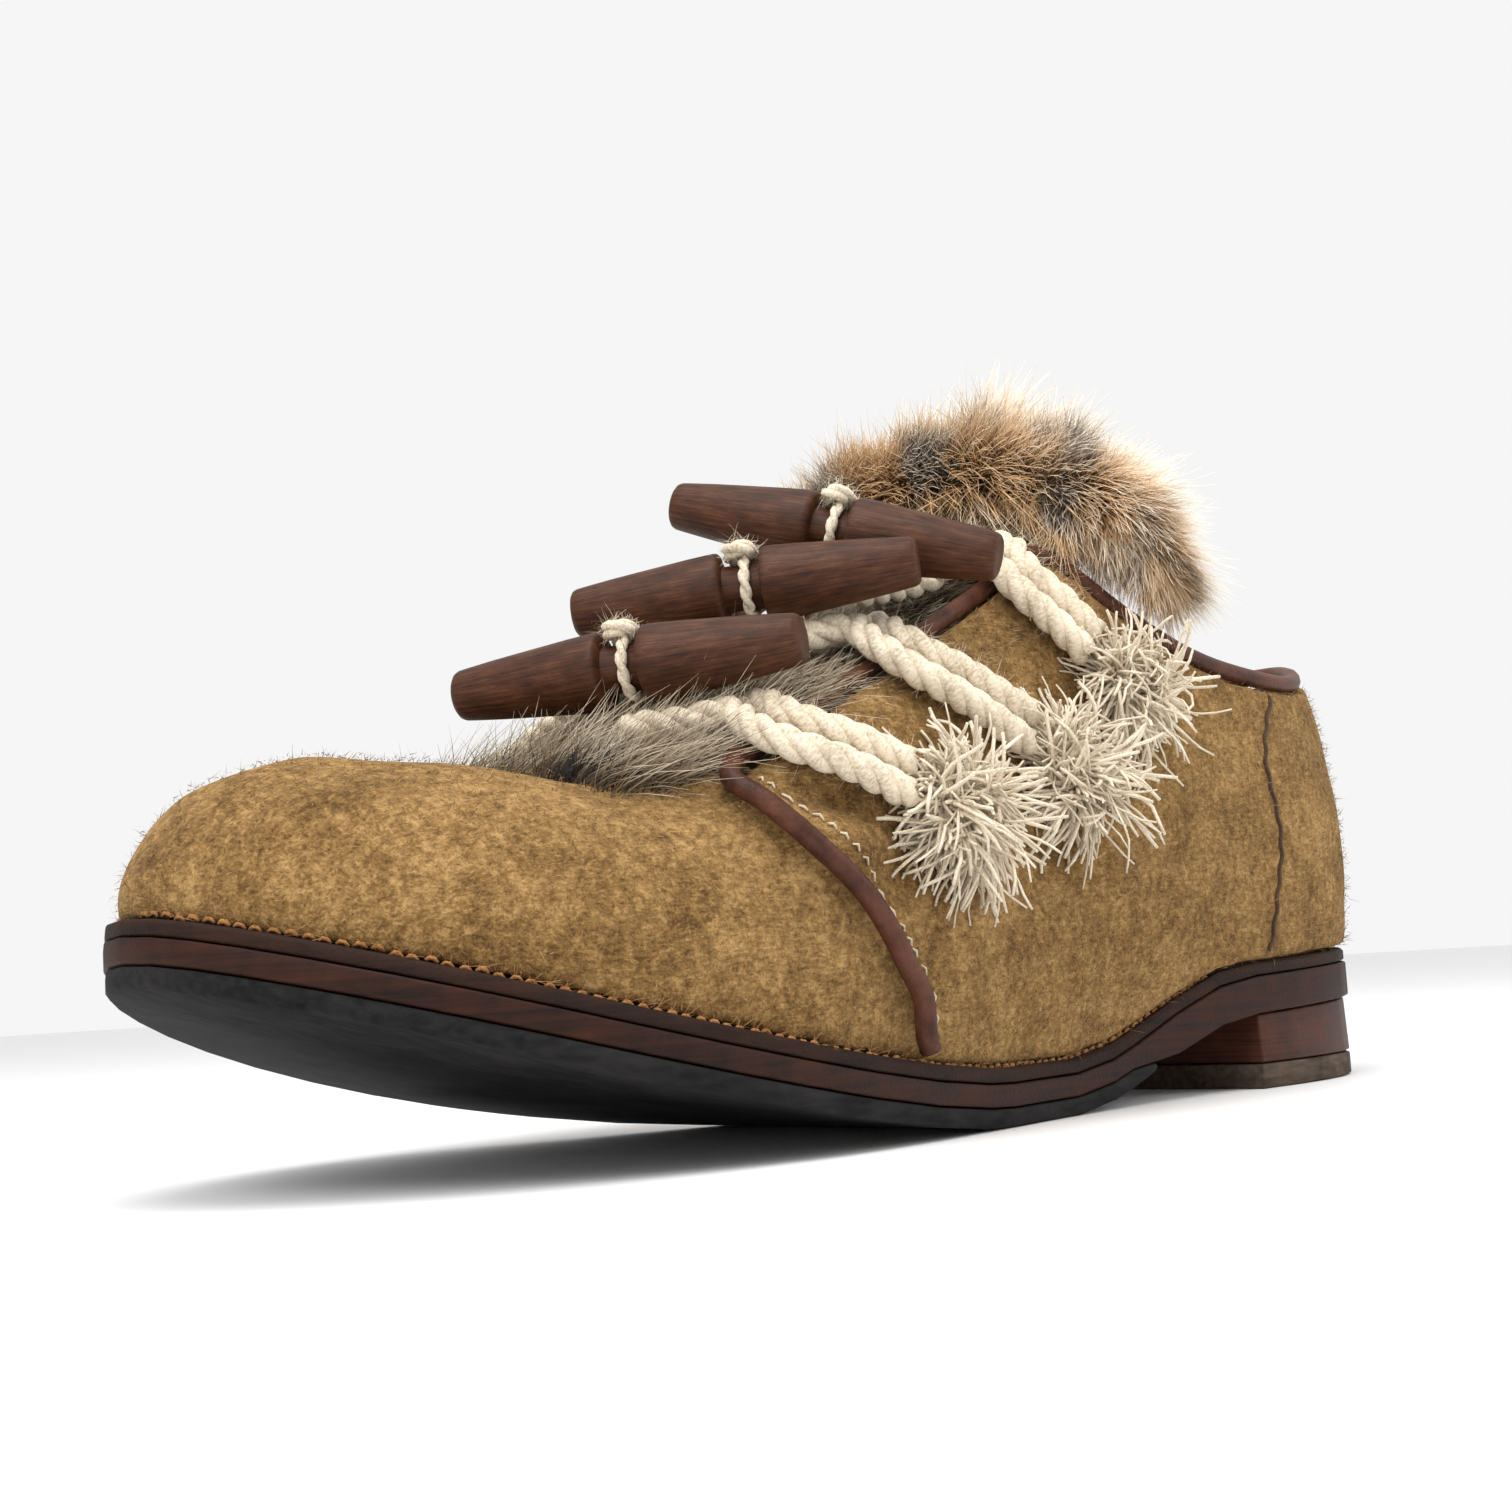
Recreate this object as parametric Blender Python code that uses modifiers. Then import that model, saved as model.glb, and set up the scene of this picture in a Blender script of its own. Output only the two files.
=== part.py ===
"""Left shoe of thick wool felt, closed by three wooden toggles on cotton rope loops.

The shoe stands on the plane z = 0 with its toe toward -X and its outer, lateral side toward -Y.
The origin is the centre of the heel's ground face. All sizes are in metres.

Every curved piece is worked out from one last. In the functions below a place on it has an
along value, measured from the heel's back toward the toe, an across value, which is negative on
the lateral side, and a height. world() turns these into the shoe's own X, Y and Z.
"""

import math
from typing import NamedTuple

import bmesh
import bpy
import numpy as np
from mathutils import Matrix, Vector

# Sole sizes
SOLE_LENGTH = 0.300
BALL_LATERAL = 0.0540
BALL_MEDIAL = 0.0520
SEAT_LATERAL = 0.0340
SEAT_MEDIAL = 0.0330
TOE_SPRING = 0.0335
TOE_CURVE = 1.54
FLAT_BACK = 0.126
FLAT_FRONT = 0.150
RUBBER = 0.0034
RUBBER_BACK = 0.098
SKIVE = 0.008
OUTSOLE = 0.0040
WELT = 0.0027
WELT_SHELF = 0.0033
SEAT_SHELF = 0.0016
INSOLE = 0.0030

# Heel sizes
HEEL_LENGTH = 0.062
HEEL_FRONT_HEIGHT = 0.0158
HEEL_BACK_HEIGHT = 0.0184
TOP_LIFT = 0.0052
HEEL_INSET = 0.0012

# Upper sizes
FELT = 0.0026
QUARTER_STEP = 0.0016
CORNER_LIFT = 0.0012
INSTEP_HEIGHT = 0.1270
COLLAR_HEIGHT = 0.0960
HEEL_FAN = 0.045
TOE_FAN = 0.255
THROAT_FRONT = 0.216
THROAT_CORNER = 0.206
FACING_TOP = 0.113
BINDING_RADIUS = 0.0019

# Closure sizes
TOGGLE_LENGTH = 0.064
TOGGLE_RADIUS = 0.0070
WAIST_RADIUS = 0.0043
ROPE_RADIUS = 0.0029
SQUEEZED_ROPE = 0.0016
TUFT_LENGTH = 0.0105
TUFT_RADIUS = 0.0070
TUFT_HEIGHT = 0.0050
TONGUE = 0.0030
TONGUE_BULGE = 0.0065
TONGUE_FRONT = 0.232
TONGUE_TOP = 0.104
TONGUE_LAP = 0.10
TONGUE_CLEARANCE = 0.0012
TOGGLE_HOLLOW = 0.0040
RUFF_RADIUS = 0.0080
RUFF_LOCK = 0.0160

# Clearance between pieces, and the fineness of the lofts
GAP = 0.0003
STATIONS = 27
END_ZONE = 0.020
WALL_ROWS = 6
TOP_ROWS = 4

LATERAL = -1.0
MEDIAL = 1.0
HEEL_CENTRE = (HEEL_INSET + HEEL_LENGTH) / 2


class PlanRow(NamedTuple):
    """Sole outline: half widths as shares of the seat's width at the heel and of the ball's in front."""

    along: float
    lateral: float
    medial: float


class LastRow(NamedTuple):
    """Upper section: ridge as a share of INSTEP_HEIGHT, corner fullness, and overhang past the feather."""

    along: float
    ridge: float
    fullness: float
    lateral: float
    medial: float


class RimRow(NamedTuple):
    """Height of the bound edge of the collar and facings, as a share of COLLAR_HEIGHT."""

    along: float
    height: float


class EdgeRow(NamedTuple):
    """Bound front edge of a quarter in side view: shares of SOLE_LENGTH and of COLLAR_HEIGHT."""

    along: float
    height: float


class TurnedRow(NamedTuple):
    """Turned profile: share of the length, and share of the largest radius."""

    along: float
    radius: float


class ToggleRow(NamedTuple):
    """Toggle ends and tuft centre, as shares of SOLE_LENGTH along and across and of COLLAR_HEIGHT up."""

    toe_along: float
    toe_across: float
    toe_height: float
    heel_along: float
    heel_across: float
    heel_height: float
    rim_along: float
    tuft_along: float
    tuft_height: float


class RuffRow(NamedTuple):
    """Middle of the fur ruff at the tongue's top: place as on a toggle, and share of its thickness."""

    along: float
    across: float
    height: float
    thick: float


SOLE_PLAN = (
    PlanRow(0.000, 0.000, 0.000),
    PlanRow(0.006, 0.265, 0.272),
    PlanRow(0.027, 0.529, 0.545),
    PlanRow(0.060, 0.765, 0.788),
    PlanRow(0.107, 0.912, 0.939),
    PlanRow(0.200, 1.000, 1.000),
    PlanRow(0.300, 0.969, 0.852),
    PlanRow(0.400, 0.876, 0.707),
    PlanRow(0.500, 0.867, 0.700),
    PlanRow(0.600, 0.935, 0.835),
    PlanRow(0.667, 0.991, 0.951),
    PlanRow(0.717, 1.000, 1.000),
    PlanRow(0.783, 0.963, 0.981),
    PlanRow(0.850, 0.872, 0.885),
    PlanRow(0.907, 0.712, 0.723),
    PlanRow(0.953, 0.502, 0.510),
    PlanRow(0.983, 0.298, 0.304),
    PlanRow(0.997, 0.128, 0.131),
    PlanRow(1.000, 0.000, 0.000),
)

LAST_SECTIONS = (
    LastRow(0.000, 1.230, 1.62, 0.0045, 0.0045),
    LastRow(0.130, 1.190, 1.75, 0.0035, 0.0035),
    LastRow(0.200, 1.150, 1.85, 0.0035, 0.0040),
    LastRow(0.290, 1.090, 2.10, 0.0065, 0.0095),
    LastRow(0.377, 0.998, 2.50, 0.0080, 0.0115),
    LastRow(0.467, 0.870, 2.70, 0.0045, 0.0075),
    LastRow(0.533, 0.776, 2.90, 0.0030, 0.0045),
    LastRow(0.583, 0.704, 3.00, 0.0020, 0.0030),
    LastRow(0.645, 0.638, 3.00, 0.0015, 0.0020),
    LastRow(0.690, 0.555, 3.00, 0.0012, 0.0015),
    LastRow(0.723, 0.516, 3.00, 0.0010, 0.0012),
    LastRow(0.767, 0.516, 2.80, 0.0010, 0.0010),
    LastRow(0.850, 0.540, 2.40, 0.0010, 0.0010),
    LastRow(1.000, 0.540, 2.00, 0.0015, 0.0015),
)

RIM = (
    RimRow(0.000, 1.000),
    RimRow(0.040, 0.974),
    RimRow(0.085, 0.938),
    RimRow(0.140, 0.927),
    RimRow(0.187, 0.940),
    RimRow(0.247, 0.975),
    RimRow(0.290, 1.023),
    RimRow(0.335, 1.095),
    RimRow(0.372, 1.168),
    RimRow(0.392, 1.165),
    RimRow(0.430, 1.090),
    RimRow(0.530, 0.940),
    RimRow(0.583, 0.862),
    RimRow(0.645, 0.766),
    RimRow(0.687, 0.700),
)

QUARTER_EDGE = (
    EdgeRow(0.610, 0.130),
    EdgeRow(0.611, 0.240),
    EdgeRow(0.628, 0.312),
    EdgeRow(0.643, 0.381),
    EdgeRow(0.665, 0.455),
    EdgeRow(0.683, 0.505),
    EdgeRow(0.700, 0.570),
    EdgeRow(0.707, 0.620),
    EdgeRow(0.702, 0.670),
    EdgeRow(0.688, 0.712),
    EdgeRow(0.668, 0.748),
    EdgeRow(0.645, 0.778),
)

TOGGLE_PROFILE = (
    TurnedRow(0.000, 0.58),
    TurnedRow(0.014, 0.65),
    TurnedRow(0.120, 0.76),
    TurnedRow(0.270, 0.89),
    TurnedRow(0.400, 0.99),
    TurnedRow(0.430, 0.99),
    TurnedRow(0.442, 0.93),
)

TOGGLES = (
    ToggleRow(0.763, 0.040, 0.857, 0.650, -0.143, 0.898, 0.665, 0.573, 0.595),
    ToggleRow(0.684, 0.027, 1.021, 0.548, -0.140, 1.066, 0.555, 0.440, 0.700),
    ToggleRow(0.601, 0.017, 1.253, 0.494, -0.150, 1.081, 0.425, 0.365, 0.865),
)

RUFF = (
    RuffRow(0.455, 0.110, 1.225, 0.55),
    RuffRow(0.425, 0.075, 1.318, 0.90),
    RuffRow(0.400, 0.035, 1.362, 1.00),
    RuffRow(0.375, -0.010, 1.366, 1.00),
    RuffRow(0.340, -0.055, 1.350, 1.00),
    RuffRow(0.290, -0.095, 1.290, 0.95),
    RuffRow(0.245, -0.122, 1.160, 0.60),
)


def world(along, across, height):
    """Turns a place on the last into the shoe's own coordinates."""
    return Vector((HEEL_CENTRE - along, across, height))


def ease(share):
    """Smooth step between 0 and 1, level at both ends."""
    share = np.clip(share, 0.0, 1.0)
    return share * share * (3 - 2 * share)


def smooth_table(rows, column):
    """Returns a function of the along share that passes through a column without overshooting."""
    x = np.array([row.along for row in rows])
    y = np.array([getattr(row, column) for row in rows])
    step = np.diff(x)
    rise = np.diff(y) / step
    slope = np.zeros_like(y)
    slope[0] = rise[0]
    slope[-1] = rise[-1]
    for i in range(1, len(y) - 1):
        if rise[i - 1] * rise[i] > 0:
            slope[i] = 2 * rise[i - 1] * rise[i] / (rise[i - 1] + rise[i])

    def value(share):
        share = np.clip(share, x[0], x[-1])
        i = np.clip(np.searchsorted(x, share) - 1, 0, len(step) - 1)
        t = (share - x[i]) / step[i]
        straight = y[i] * (1 - 3 * t**2 + 2 * t**3) + y[i + 1] * (3 * t**2 - 2 * t**3)
        bent = slope[i] * (t - 2 * t**2 + t**3) + slope[i + 1] * (t**3 - t**2)
        return straight + bent * step[i]

    return value


def closed_spline(points, count):
    """Samples a smooth closed curve through the points."""
    points = np.asarray(points, float)
    total = len(points)
    after = np.linalg.norm(np.roll(points, -1, axis=0) - points, axis=1)
    matrix = np.zeros((total, total))
    pull = np.zeros_like(points)
    for i in range(total):
        ahead = (i + 1) % total
        matrix[i, i - 1] += after[i - 1]
        matrix[i, i] += 2 * (after[i - 1] + after[i])
        matrix[i, ahead] += after[i]
        pull[i] = 6 * ((points[ahead] - points[i]) / after[i] - (points[i] - points[i - 1]) / after[i - 1])
    bend = np.linalg.solve(matrix, pull)
    knots = np.concatenate([[0.0], np.cumsum(after)])
    place = np.linspace(0.0, knots[-1], count, endpoint=False)
    i = np.clip(np.searchsorted(knots, place, side="right") - 1, 0, total - 1)
    ahead = (i + 1) % total
    a = (knots[i + 1] - place)[:, None]
    b = (place - knots[i])[:, None]
    width = after[i][:, None]
    curve = (bend[i] * a**3 + bend[ahead] * b**3) / (6 * width)
    curve += (points[i] / width - bend[i] * width / 6) * a
    return curve + (points[ahead] / width - bend[ahead] * width / 6) * b


def open_spline(points, count):
    """Samples a smooth open curve through the points, evenly by length."""
    points = np.asarray(points, float)
    ends = [2 * points[0] - points[1], *points, 2 * points[-1] - points[-2]]
    dense = []
    for i in range(1, len(ends) - 2):
        p0, p1, p2, p3 = ends[i - 1 : i + 3]
        for t in np.linspace(0.0, 1.0, 24, endpoint=False):
            dense.append(
                0.5 * (2 * p1 + (p2 - p0) * t + (2 * p0 - 5 * p1 + 4 * p2 - p3) * t**2
                       + (3 * p1 - p0 - 3 * p2 + p3) * t**3)
            )
    dense.append(points[-1])
    return resampled(np.array(dense), count)


def resampled(line, count):
    """Places a number of points evenly along a line of points."""
    length = np.concatenate([[0.0], np.cumsum(np.linalg.norm(np.diff(line, axis=0), axis=1))])
    place = np.linspace(0.0, length[-1], count)
    return np.stack([np.interp(place, length, line[:, axis]) for axis in range(line.shape[1])], axis=1)


def sole_edge_points():
    """The sole's outline through its table's rows, lateral side first."""
    lateral = []
    medial = []
    for row in SOLE_PLAN:
        toward_ball = float(ease((row.along - 0.25) / 0.35))
        wide = SEAT_LATERAL + (BALL_LATERAL - SEAT_LATERAL) * toward_ball
        lateral.append((row.along * SOLE_LENGTH, LATERAL * row.lateral * wide))
        wide = SEAT_MEDIAL + (BALL_MEDIAL - SEAT_MEDIAL) * toward_ball
        medial.append((row.along * SOLE_LENGTH, MEDIAL * row.medial * wide))
    return lateral + medial[-2:0:-1]


class Outline:
    """A closed outline in plan, which gives its half width on each side at any place along the sole."""

    def __init__(self, line):
        toe = int(np.argmax(line[:, 0]))
        line = np.roll(line, -int(np.argmin(line[:, 0])), axis=0)
        toe = int(np.argmax(line[:, 0]))
        self.line = line
        self.start = line[0, 0]
        self.end = line[toe, 0]
        self.sides = {LATERAL: line[: toe + 1], MEDIAL: np.vstack([line[toe:], line[:1]])[::-1]}

    def across(self, side, along):
        """Signed across value of one side."""
        half = self.sides[side]
        return np.interp(along, np.maximum.accumulate(half[:, 0]), half[:, 1])

    def inset(self, distance):
        """A new outline inside this one, by a distance that may change along the sole."""
        ahead = np.roll(self.line, -1, axis=0) - np.roll(self.line, 1, axis=0)
        ahead /= np.linalg.norm(ahead, axis=1)[:, None]
        inward = np.stack([-ahead[:, 1], ahead[:, 0]], axis=1)
        inward *= np.sign(np.sum(inward * (np.array([self.end / 2, 0]) - self.line), axis=1).mean())
        reach = np.broadcast_to(distance(self.line[:, 0]) if callable(distance) else distance, len(self.line))
        return Outline(self.line + inward * reach[:, None])

    def fitted(self, places):
        """The sole's stations with those of its rounded ends drawn in to this outline's ends."""
        places = np.asarray(places, float)
        heel = self.start + places * (1 - self.start / END_ZONE)
        front = SOLE_LENGTH - places
        toe = self.end - front * (1 - (SOLE_LENGTH - self.end) / END_ZONE)
        return np.where(places < END_ZONE, heel, np.where(front < END_ZONE, toe, places))


def shelf(along):
    """How far the upper's foot stands back from the sole's edge."""
    return SEAT_SHELF + (WELT_SHELF - SEAT_SHELF) * ease((along - HEEL_LENGTH) / HEEL_LENGTH)


def sole_stations():
    """Stations of every loft: the named places of the sole, and spaced ones well clear of them."""
    named = [FLAT_BACK, FLAT_FRONT, HEEL_LENGTH, RUBBER_BACK, RUBBER_BACK - SKIVE, RUBBER_BACK + SKIVE]
    named += [THROAT_CORNER - 0.007, THROAT_CORNER, THROAT_CORNER + 0.007, FACING_TOP]
    spaced = SOLE_LENGTH * (0.5 - 0.5 * np.cos(math.pi * np.linspace(0.0, 1.0, STATIONS + 1)))
    clear = [float(place) for place in spaced if min(abs(place - name) for name in named) > 0.003]
    return sorted(clear + named)


SOLE_EDGE = Outline(closed_spline(sole_edge_points(), 2400))
FEATHER = SOLE_EDGE.inset(shelf)
SOLE_STATIONS = sole_stations()

ridge_share = smooth_table(LAST_SECTIONS, "ridge")
fullness_at = smooth_table(LAST_SECTIONS, "fullness")
overhang_at = {
    LATERAL: smooth_table(LAST_SECTIONS, "lateral"),
    MEDIAL: smooth_table(LAST_SECTIONS, "medial"),
}
rim_share = smooth_table(RIM, "height")


def tread_height(along):
    """Underside of the sole: the heel's top, the shank's curve, the flat spot and the toe spring."""
    toe = TOE_SPRING * np.clip((along - FLAT_FRONT) / (SOLE_LENGTH - FLAT_FRONT), 0, 1) ** TOE_CURVE
    shank = HEEL_FRONT_HEIGHT * ease((FLAT_BACK - along) / (FLAT_BACK - HEEL_LENGTH))
    heel = (HEEL_BACK_HEIGHT - HEEL_FRONT_HEIGHT) * np.clip((HEEL_LENGTH - along) / HEEL_LENGTH, 0, 1)
    return toe + shank + heel


def rubber_seat(along):
    """Depth of the recess that the rubber half sole fills, with a skived back end."""
    return (RUBBER + GAP) * np.clip((along - RUBBER_BACK + SKIVE) / (2 * SKIVE), 0, 1)


def feather_height(along):
    """Foot of the upper, just clear of the welt."""
    return tread_height(along) + RUBBER + OUTSOLE + WELT + 3 * GAP


def fan_place(along):
    """The ridge point that a column of the last leads to."""
    return np.clip(along, HEEL_FAN, TOE_FAN)


def ridge_height(along):
    """Height of the last's ridge."""
    return INSTEP_HEIGHT * ridge_share(fan_place(along) / SOLE_LENGTH)


def column_plan(side, along, rise):
    """Plan place on the last, for a column that starts at a feather point and has risen by a share."""
    foot = np.array([along, FEATHER.across(side, along)])
    centre = np.array([fan_place(along), 0.0])
    reach = np.linalg.norm(foot - centre)
    outward = (foot - centre) / max(reach, 1e-9)
    share = along / SOLE_LENGTH
    full = fullness_at(share)
    swell = overhang_at[side](share) * (1 - (1 - np.clip(rise / 0.35, 0, 1)) ** 2)
    lean = (1 - np.clip(rise, 0, 1) ** full) ** (1 / full)
    return centre + outward * (reach + swell) * lean


def column_point(side, along, rise):
    """Place on the last as along, across and height."""
    foot = feather_height(along)
    plan = column_plan(side, along, rise)
    return np.array([plan[0], plan[1], foot + (ridge_height(along) - foot) * rise])


def toe_fan_columns():
    """Feather places in front of the toe fan's centre, with the direction that each is seen in."""
    table = []
    for side in (LATERAL, MEDIAL):
        for along in np.linspace(TOE_FAN, FEATHER.end, 90):
            foot = np.array([along, FEATHER.across(side, along)])
            table.append((math.atan2(foot[1], foot[0] - TOE_FAN), along, side))
    return sorted(table)


TOE_COLUMNS = toe_fan_columns()
RISES = np.linspace(0.25, 1.0, 76)


def height_over(along, across):
    """Height of the last above a plan place on its upper part."""
    side = LATERAL if across < 0 else MEDIAL
    foot_along = along
    if along > TOE_FAN:
        angle = math.atan2(across, along - TOE_FAN)
        nearest = min(TOE_COLUMNS, key=lambda column: abs(column[0] - angle))
        foot_along, side = nearest[1], nearest[2]
    elif along < HEEL_FAN:
        angle = math.atan2(across, HEEL_FAN - along)
        places = np.linspace(FEATHER.start, HEEL_FAN, 90)
        angles = [math.atan2(FEATHER.across(side, p), HEEL_FAN - p + 1e-9) for p in places]
        foot_along = places[int(np.argmin(np.abs(np.array(angles) - angle)))]
    centre = np.array([fan_place(foot_along), 0.0])
    reach = np.linalg.norm(np.array([along, across]) - centre)
    reaches = np.array([np.linalg.norm(column_plan(side, foot_along, r) - centre) for r in RISES])
    rise = np.interp(-reach, -reaches, RISES)
    foot = feather_height(foot_along)
    return foot + (ridge_height(foot_along) - foot) * rise


def rim_height(along):
    """Height of the felt's edge, below the binding that tops the collar and the facings."""
    return COLLAR_HEIGHT * rim_share(along / SOLE_LENGTH) - 2 * BINDING_RADIUS


def rim_rise(along):
    """The same height as a share of a column."""
    foot = feather_height(along)
    return (rim_height(along) - foot) / (ridge_height(along) - foot)


def throat_edge(side, along):
    """Plan place of the opening's edge that a column leads to."""
    if along <= THROAT_CORNER:
        return column_plan(side, along, rim_rise(along))
    corner = column_plan(side, THROAT_CORNER, rim_rise(THROAT_CORNER))
    share = (along - THROAT_CORNER) / (FEATHER.end - THROAT_CORNER)
    across = corner[1] * (1 - ease(share) * 0.6 - share * 0.4)
    bow = (THROAT_FRONT - THROAT_CORNER) * (1 - (across / corner[1]) ** 2)
    return np.array([corner[0] + bow, across])


def column_line(side, along):
    """One column of the upper, from the feather edge to the opening's edge."""
    edge = throat_edge(side, along)
    highest = min(0.72, 0.70 * float(rim_rise(along))) if along <= THROAT_CORNER else 0.72
    line = [column_point(side, along, highest * row / WALL_ROWS) for row in range(WALL_ROWS + 1)]
    start = line[-1][:2]
    for row in range(1, TOP_ROWS + 1):
        plan = start + (edge - start) * row / TOP_ROWS
        line.append(np.array([plan[0], plan[1], height_over(plan[0], plan[1])]))
    return np.array(line)


def upper_columns(first=None, last=None):
    """The columns as side and along values, round the shoe from the heel's back."""
    places = FEATHER.fitted(SOLE_STATIONS)
    lateral = [(LATERAL, place) for place in places[:-1]]
    medial = [(MEDIAL, place) for place in places[:0:-1]]
    ring = lateral + medial
    if first is None:
        return ring
    behind = [column for column in ring if column[1] <= last]
    split = next(i for i, column in enumerate(behind) if column[0] == MEDIAL)
    return behind[split:] + behind[:split]


def upper_grid(columns):
    """Points of the upper's outer face, one list per column."""
    return np.array([column_line(side, along) for side, along in columns])


def grid_normals(grid, closed):
    """Outward normals of a grid of last points."""
    if closed:
        around = np.roll(grid, -1, axis=0) - np.roll(grid, 1, axis=0)
    else:
        around = np.gradient(grid, axis=0)
    up = np.gradient(grid, axis=1)
    normals = np.cross(around, up)
    length = np.linalg.norm(normals, axis=2, keepdims=True)
    normals /= np.maximum(length, 1e-12)
    outward = grid[..., 1:2] * normals[..., 1:2]
    if outward.sum() < 0:
        normals = -normals
    return normals


def surface_frame(side, along, rise):
    """Point and outward normal of the last, in along, across and height."""
    point = column_point(side, along, rise)
    ahead = column_point(side, along + 0.002, rise) - column_point(side, along - 0.002, rise)
    above = column_point(side, along, min(rise + 0.02, 0.999)) - column_point(side, along, rise - 0.02)
    normal = np.cross(ahead, above)
    normal /= np.linalg.norm(normal)
    if normal[1] * side < 0:
        normal = -normal
    return point, normal


def rise_at(along, height):
    """Share of a column at a height."""
    foot = feather_height(along)
    return (height - foot) / (ridge_height(along) - foot)


def start_scene():
    """Clears the scene and makes one collection for the pieces and one for their cutters."""
    for old in list(bpy.data.objects):
        bpy.data.objects.remove(old, do_unlink=True)
    made = []
    for name in ("felt_toggle_shoe", "cutters"):
        collection = bpy.data.collections.new(name)
        bpy.context.scene.collection.children.link(collection)
        made.append(collection)
    return made


def finish(name, colour, roughness, metallic=0.0):
    """A plain material."""
    material = bpy.data.materials.new(name)
    material.use_nodes = True
    shader = material.node_tree.nodes["Principled BSDF"]
    shader.inputs["Base Color"].default_value = (*colour, 1.0)
    shader.inputs["Roughness"].default_value = roughness
    shader.inputs["Metallic"].default_value = metallic
    material.diffuse_color = (*colour, 1.0)
    return material


def add_mesh(name, bm, collection, material=None):
    """Closes a bmesh into a named object with its faces pointing out."""
    bmesh.ops.remove_doubles(bm, verts=bm.verts, dist=1e-6)
    bmesh.ops.dissolve_degenerate(bm, edges=bm.edges, dist=1e-7)
    bmesh.ops.recalc_face_normals(bm, faces=bm.faces)
    mesh = bpy.data.meshes.new(name)
    bm.to_mesh(mesh)
    bm.free()
    mesh.shade_smooth()
    mesh.set_sharp_from_angle(angle=math.radians(40))
    piece = bpy.data.objects.new(name, mesh)
    collection.objects.link(piece)
    if material:
        mesh.materials.append(material)
    return piece


def loft_solid(name, layers, collection, material):
    """Solid of transverse strips between stacked outlines, each a list of left and right points."""
    bm = bmesh.new()
    rows = [[[bm.verts.new(world(*point)) for point in side] for side in layer] for layer in layers]
    last = len(rows[0][0]) - 1
    for lower, upper in zip(rows, rows[1:]):
        for side in range(2):
            for k in range(last):
                bm.faces.new((lower[side][k], lower[side][k + 1], upper[side][k + 1], upper[side][k]))
        for k in (0, last):
            bm.faces.new((lower[0][k], lower[1][k], upper[1][k], upper[0][k]))
    for layer in (rows[0], rows[-1]):
        for k in range(last):
            bm.faces.new((layer[0][k], layer[0][k + 1], layer[1][k + 1], layer[1][k]))
    return add_mesh(name, bm, collection, material)


def sole_layer(outline, height, start=0.0, end=SOLE_LENGTH):
    """One outline of a sole piece between two stations, as lateral and medial points at a height."""
    places = outline.fitted([place for place in SOLE_STATIONS if start <= place <= end])
    return [
        [(place, float(outline.across(side, place)), float(height(place))) for place in places]
        for side in (LATERAL, MEDIAL)
    ]


def ring_solid(name, rings, collection, material):
    """Closed band from rings that follow each other round its section."""
    bm = bmesh.new()
    rows = [[bm.verts.new(world(*point)) for point in ring] for ring in rings]
    total = len(rows[0])
    for i, row in enumerate(rows):
        following = rows[(i + 1) % len(rows)]
        for k in range(total):
            ahead = (k + 1) % total
            bm.faces.new((row[k], row[ahead], following[ahead], following[k]))
    return add_mesh(name, bm, collection, material)


def outline_ring(outline, height):
    """Points of an outline all the way round, at a height that depends on the place."""
    lateral, medial = sole_layer(outline, height)
    return lateral[:-1] + medial[:0:-1]


def grid_sheet(name, grid, closed, collection, material=None):
    """Open sheet of quads over a grid of last points."""
    bm = bmesh.new()
    columns = [[bm.verts.new(world(*point)) for point in column] for column in grid]
    total = len(columns)
    for i in range(total if closed else total - 1):
        here = columns[i]
        ahead = columns[(i + 1) % total]
        for k in range(len(here) - 1):
            bm.faces.new((here[k], ahead[k], ahead[k + 1], here[k + 1]))
    bmesh.ops.recalc_face_normals(bm, faces=bm.faces)
    lowest = min(bm.faces, key=lambda face: face.calc_center_median().y)
    if lowest.normal.y > 0:
        bmesh.ops.reverse_faces(bm, faces=bm.faces)
    mesh = bpy.data.meshes.new(name)
    bm.to_mesh(mesh)
    bm.free()
    mesh.shade_smooth()
    piece = bpy.data.objects.new(name, mesh)
    collection.objects.link(piece)
    if material:
        mesh.materials.append(material)
    return piece


def block_between(name, outer, inner, collection, material=None):
    """Closed solid between two grids of last points that have the same columns and rows."""
    bm = bmesh.new()
    faces = [[[bm.verts.new(world(*point)) for point in column] for column in grid] for grid in (outer, inner)]
    columns, rows = outer.shape[:2]
    for grid in faces:
        for i in range(columns - 1):
            for k in range(rows - 1):
                bm.faces.new((grid[i][k], grid[i + 1][k], grid[i + 1][k + 1], grid[i][k + 1]))
    top, under = faces
    for i in range(columns - 1):
        for k in (0, rows - 1):
            bm.faces.new((top[i][k], top[i + 1][k], under[i + 1][k], under[i][k]))
    for k in range(rows - 1):
        for i in (0, columns - 1):
            bm.faces.new((top[i][k], top[i][k + 1], under[i][k + 1], under[i][k]))
    return add_mesh(name, bm, collection, material)


def thicken(piece, thickness):
    """Gives a sheet its wall, inward from its outer face."""
    wall = piece.modifiers.new("wall", "SOLIDIFY")
    wall.thickness = thickness
    wall.offset = -1.0
    wall.use_even_offset = True


def combine(piece, other, operation):
    """Adds an exact Boolean to a piece."""
    step = piece.modifiers.new(operation.lower() + " " + other.name, "BOOLEAN")
    step.operation = operation
    step.object = other
    step.solver = "EXACT"


def as_guide(piece):
    """Keeps a helper out of the finished part."""
    piece.hide_render = True
    piece.display_type = "WIRE"


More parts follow.
